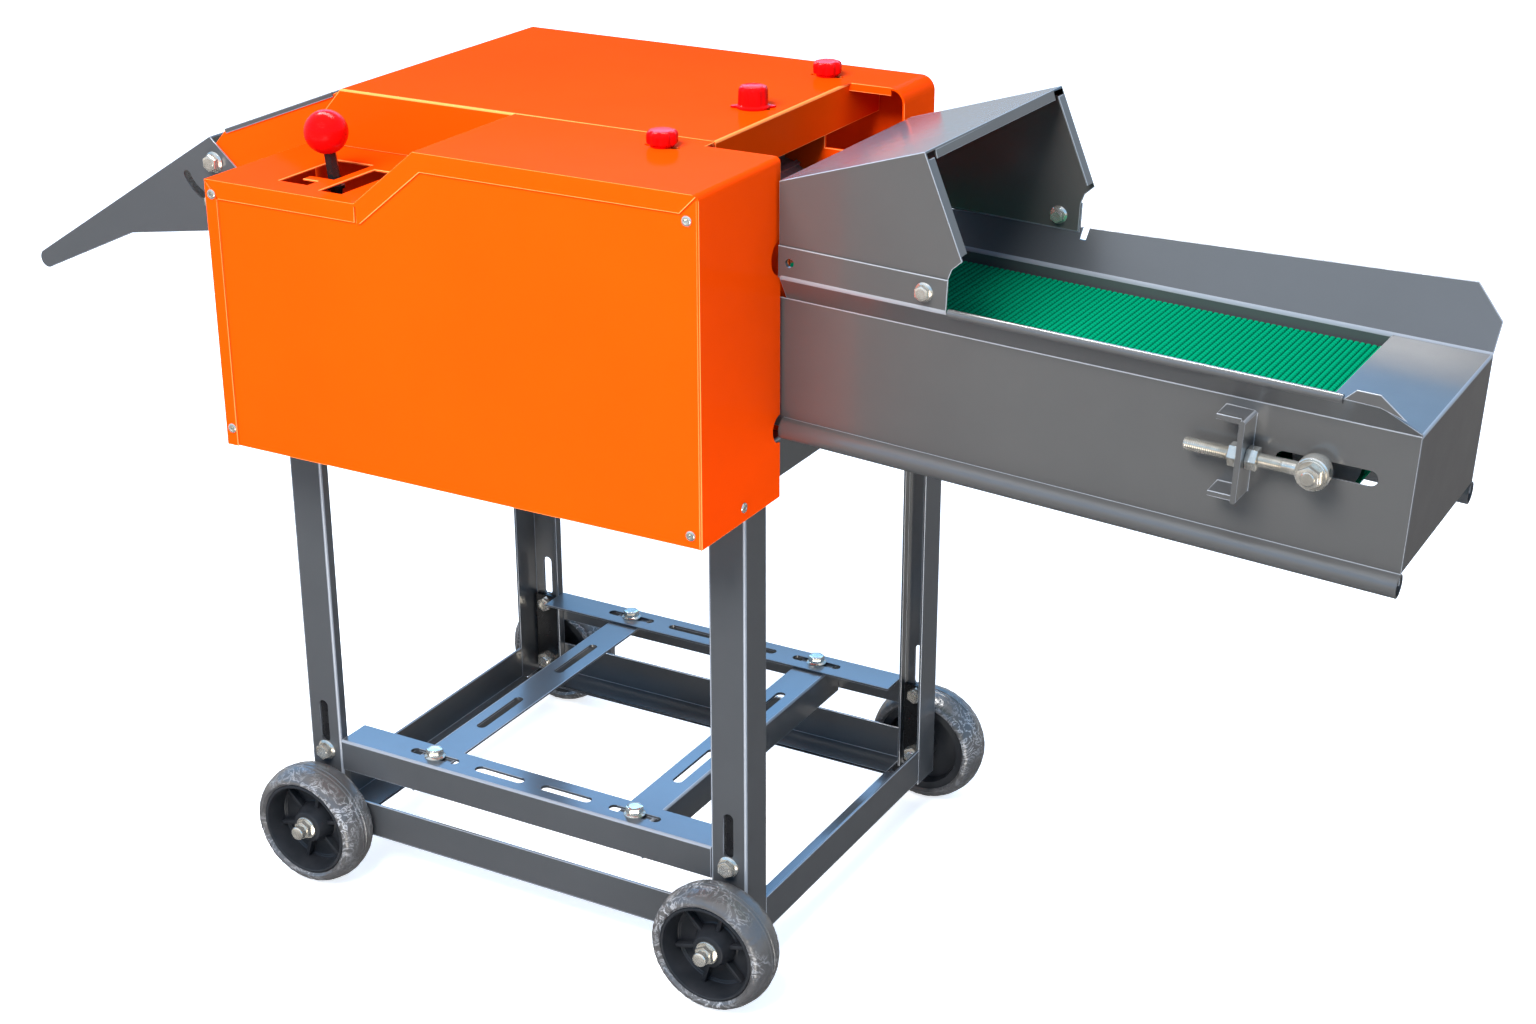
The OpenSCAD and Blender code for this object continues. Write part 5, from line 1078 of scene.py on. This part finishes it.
def studio_world():
    """A sky dim below, bluish at the sides and white overhead, with a low reflector for upright edges."""
    world = bpy.data.worlds.new("studio")
    world.use_nodes = True
    tree = world.node_tree
    place = tree.nodes.new("ShaderNodeTexCoord")
    split = tree.nodes.new("ShaderNodeSeparateXYZ")
    level = add_node(tree, "ShaderNodeMapRange", **{"From Min": -1.0, "From Max": 1.0})
    bands = tree.nodes.new("ShaderNodeValToRGB")
    ramp = bands.color_ramp
    while len(ramp.elements) < len(SKY_BANDS):
        ramp.elements.new(0.5)
    for stop, (position, colour) in zip(ramp.elements, SKY_BANDS):
        stop.position = position
        stop.color = rgba(colour)
    tree.links.new(place.outputs["Generated"], split.inputs["Vector"])
    tree.links.new(split.outputs["Z"], level.inputs["Value"])
    tree.links.new(level.outputs["Result"], bands.inputs["Fac"])
    towards = add_node(tree, "ShaderNodeVectorMath", operation="DOT_PRODUCT")
    towards.inputs[1].default_value = REFLECTOR_AT
    reflector = add_node(tree, "ShaderNodeMapRange", **{"From Min": 0.95, "From Max": 0.99, "To Max": 6.0})
    total = add_node(tree, "ShaderNodeMix", data_type="RGBA", blend_type="ADD", clamp_factor=False)
    total.inputs[MIX_TO].default_value = (1.0, 0.97, 0.92, 1.0)
    tree.links.new(place.outputs["Generated"], towards.inputs[0])
    tree.links.new(towards.outputs["Value"], reflector.inputs["Value"])
    tree.links.new(reflector.outputs["Result"], total.inputs["Factor"])
    tree.links.new(bands.outputs["Color"], total.inputs[MIX_FROM])
    tree.links.new(total.outputs[MIX_RESULT], tree.nodes["Background"].inputs["Color"])
    tree.nodes["Background"].inputs["Strength"].default_value = SKY_STRENGTH
    return world


def soft_light(name, at, aim, power, width, height, colour=WHITE):
    """A rectangular softbox that faces a point."""
    lamp = bpy.data.lights.new(name, "AREA")
    lamp.shape = "RECTANGLE"
    lamp.energy = power
    lamp.size = width
    lamp.size_y = height
    lamp.color = colour
    holder = bpy.data.objects.new(name, lamp)
    holder.location = at
    holder.rotation_euler = (Vector(aim) - Vector(at)).to_track_quat("-Z", "Y").to_euler()
    bpy.context.scene.collection.objects.link(holder)
    return holder


class CHAFF_OT_stage(Operator):
    """Sets the pale floor, the soft light and the camera"""

    bl_idname = "chaff.stage"
    bl_label = "Stage"

    def execute(self, context):
        scene = context.scene
        mesh_tool = bmesh.new()
        bmesh.ops.create_grid(mesh_tool, x_segments=1, y_segments=1, size=FLOOR_SIZE)
        new_material(
            "pale floor", {"Base Color": rgba(WHITE, 0.9), "Roughness": 0.9, "Emission Color": rgba(WHITE),
                           "Emission Strength": FLOOR_GLOW})
        floor = finish_mesh(mesh_tool, "floor", "pale floor", smooth=False)
        floor.visible_glossy = False
        scene.world = studio_world()
        middle = (0.0, 0.0, 0.6)
        key = soft_light("key", (0.0, -2.0, 2.6), middle, power=200.0, width=1.6, height=1.2)
        key.visible_glossy = False
        strip = soft_light(
            "strip", (-1.0, 0.8, 3.0), (-1.0, 0.2, 0.6), power=160.0, width=2.8, height=0.6)
        strip.visible_diffuse = False
        soft_light("rim", (-1.6, 2.6, 2.2), middle, power=30.0, width=3.0, height=1.0, colour=SKY_BLUE)
        scene.view_settings.view_transform = "Standard"
        lens = bpy.data.cameras.new("camera")
        lens.sensor_fit = "HORIZONTAL"
        lens.sensor_width = 36.0
        lens.lens = CAMERA_LENS
        camera = bpy.data.objects.new("camera", lens)
        camera.location = CAMERA_AT
        camera.rotation_euler = (math.radians(90.0 - CAMERA_TILT), 0.0, math.radians(CAMERA_TURN))
        scene.collection.objects.link(camera)
        scene.camera = camera
        return {"FINISHED"}


OPERATORS = [CHAFF_OT_finishes, CHAFF_OT_inner, CHAFF_OT_stand, CHAFF_OT_sheets, CHAFF_OT_wheels,
             CHAFF_OT_fasteners, CHAFF_OT_belt, CHAFF_OT_tensioner, CHAFF_OT_controls, CHAFF_OT_stage]


class CHAFF_PT_panel(Panel):
    """Lists the machine's pieces"""

    bl_label = "Chaff Cutter"
    bl_idname = "CHAFF_PT_panel"
    bl_space_type = "VIEW_3D"
    bl_region_type = "UI"
    bl_category = "Chaff Cutter"

    def draw(self, context):
        for group in (context.scene.chaff_sizes, context.scene.chaff_colours):
            for key in group.__annotations__:
                self.layout.prop(group, key)
        for operator in OPERATORS:
            self.layout.operator(operator.bl_idname)


CLASSES = [ChaffCutterSizes, ChaffCutterColours, *OPERATORS, CHAFF_PT_panel]


def register():
    """Adds the classes, and the sizes and colours to every scene."""
    for item in CLASSES:
        bpy.utils.register_class(item)
    bpy.types.Scene.chaff_sizes = PointerProperty(type=ChaffCutterSizes)
    bpy.types.Scene.chaff_colours = PointerProperty(type=ChaffCutterColours)


def unregister():
    """Takes the sizes, colours and classes away again."""
    del bpy.types.Scene.chaff_colours
    del bpy.types.Scene.chaff_sizes
    for item in reversed(CLASSES):
        bpy.utils.unregister_class(item)


def main():
    """Makes every piece in order."""
    register()
    bpy.ops.chaff.finishes()
    bpy.ops.chaff.inner()
    bpy.ops.chaff.stand()
    bpy.ops.chaff.sheets()
    bpy.ops.chaff.wheels()
    bpy.ops.chaff.fasteners()
    bpy.ops.chaff.belt()
    bpy.ops.chaff.tensioner()
    bpy.ops.chaff.controls()
    bpy.ops.chaff.stage()


if __name__ == "__main__":
    main()
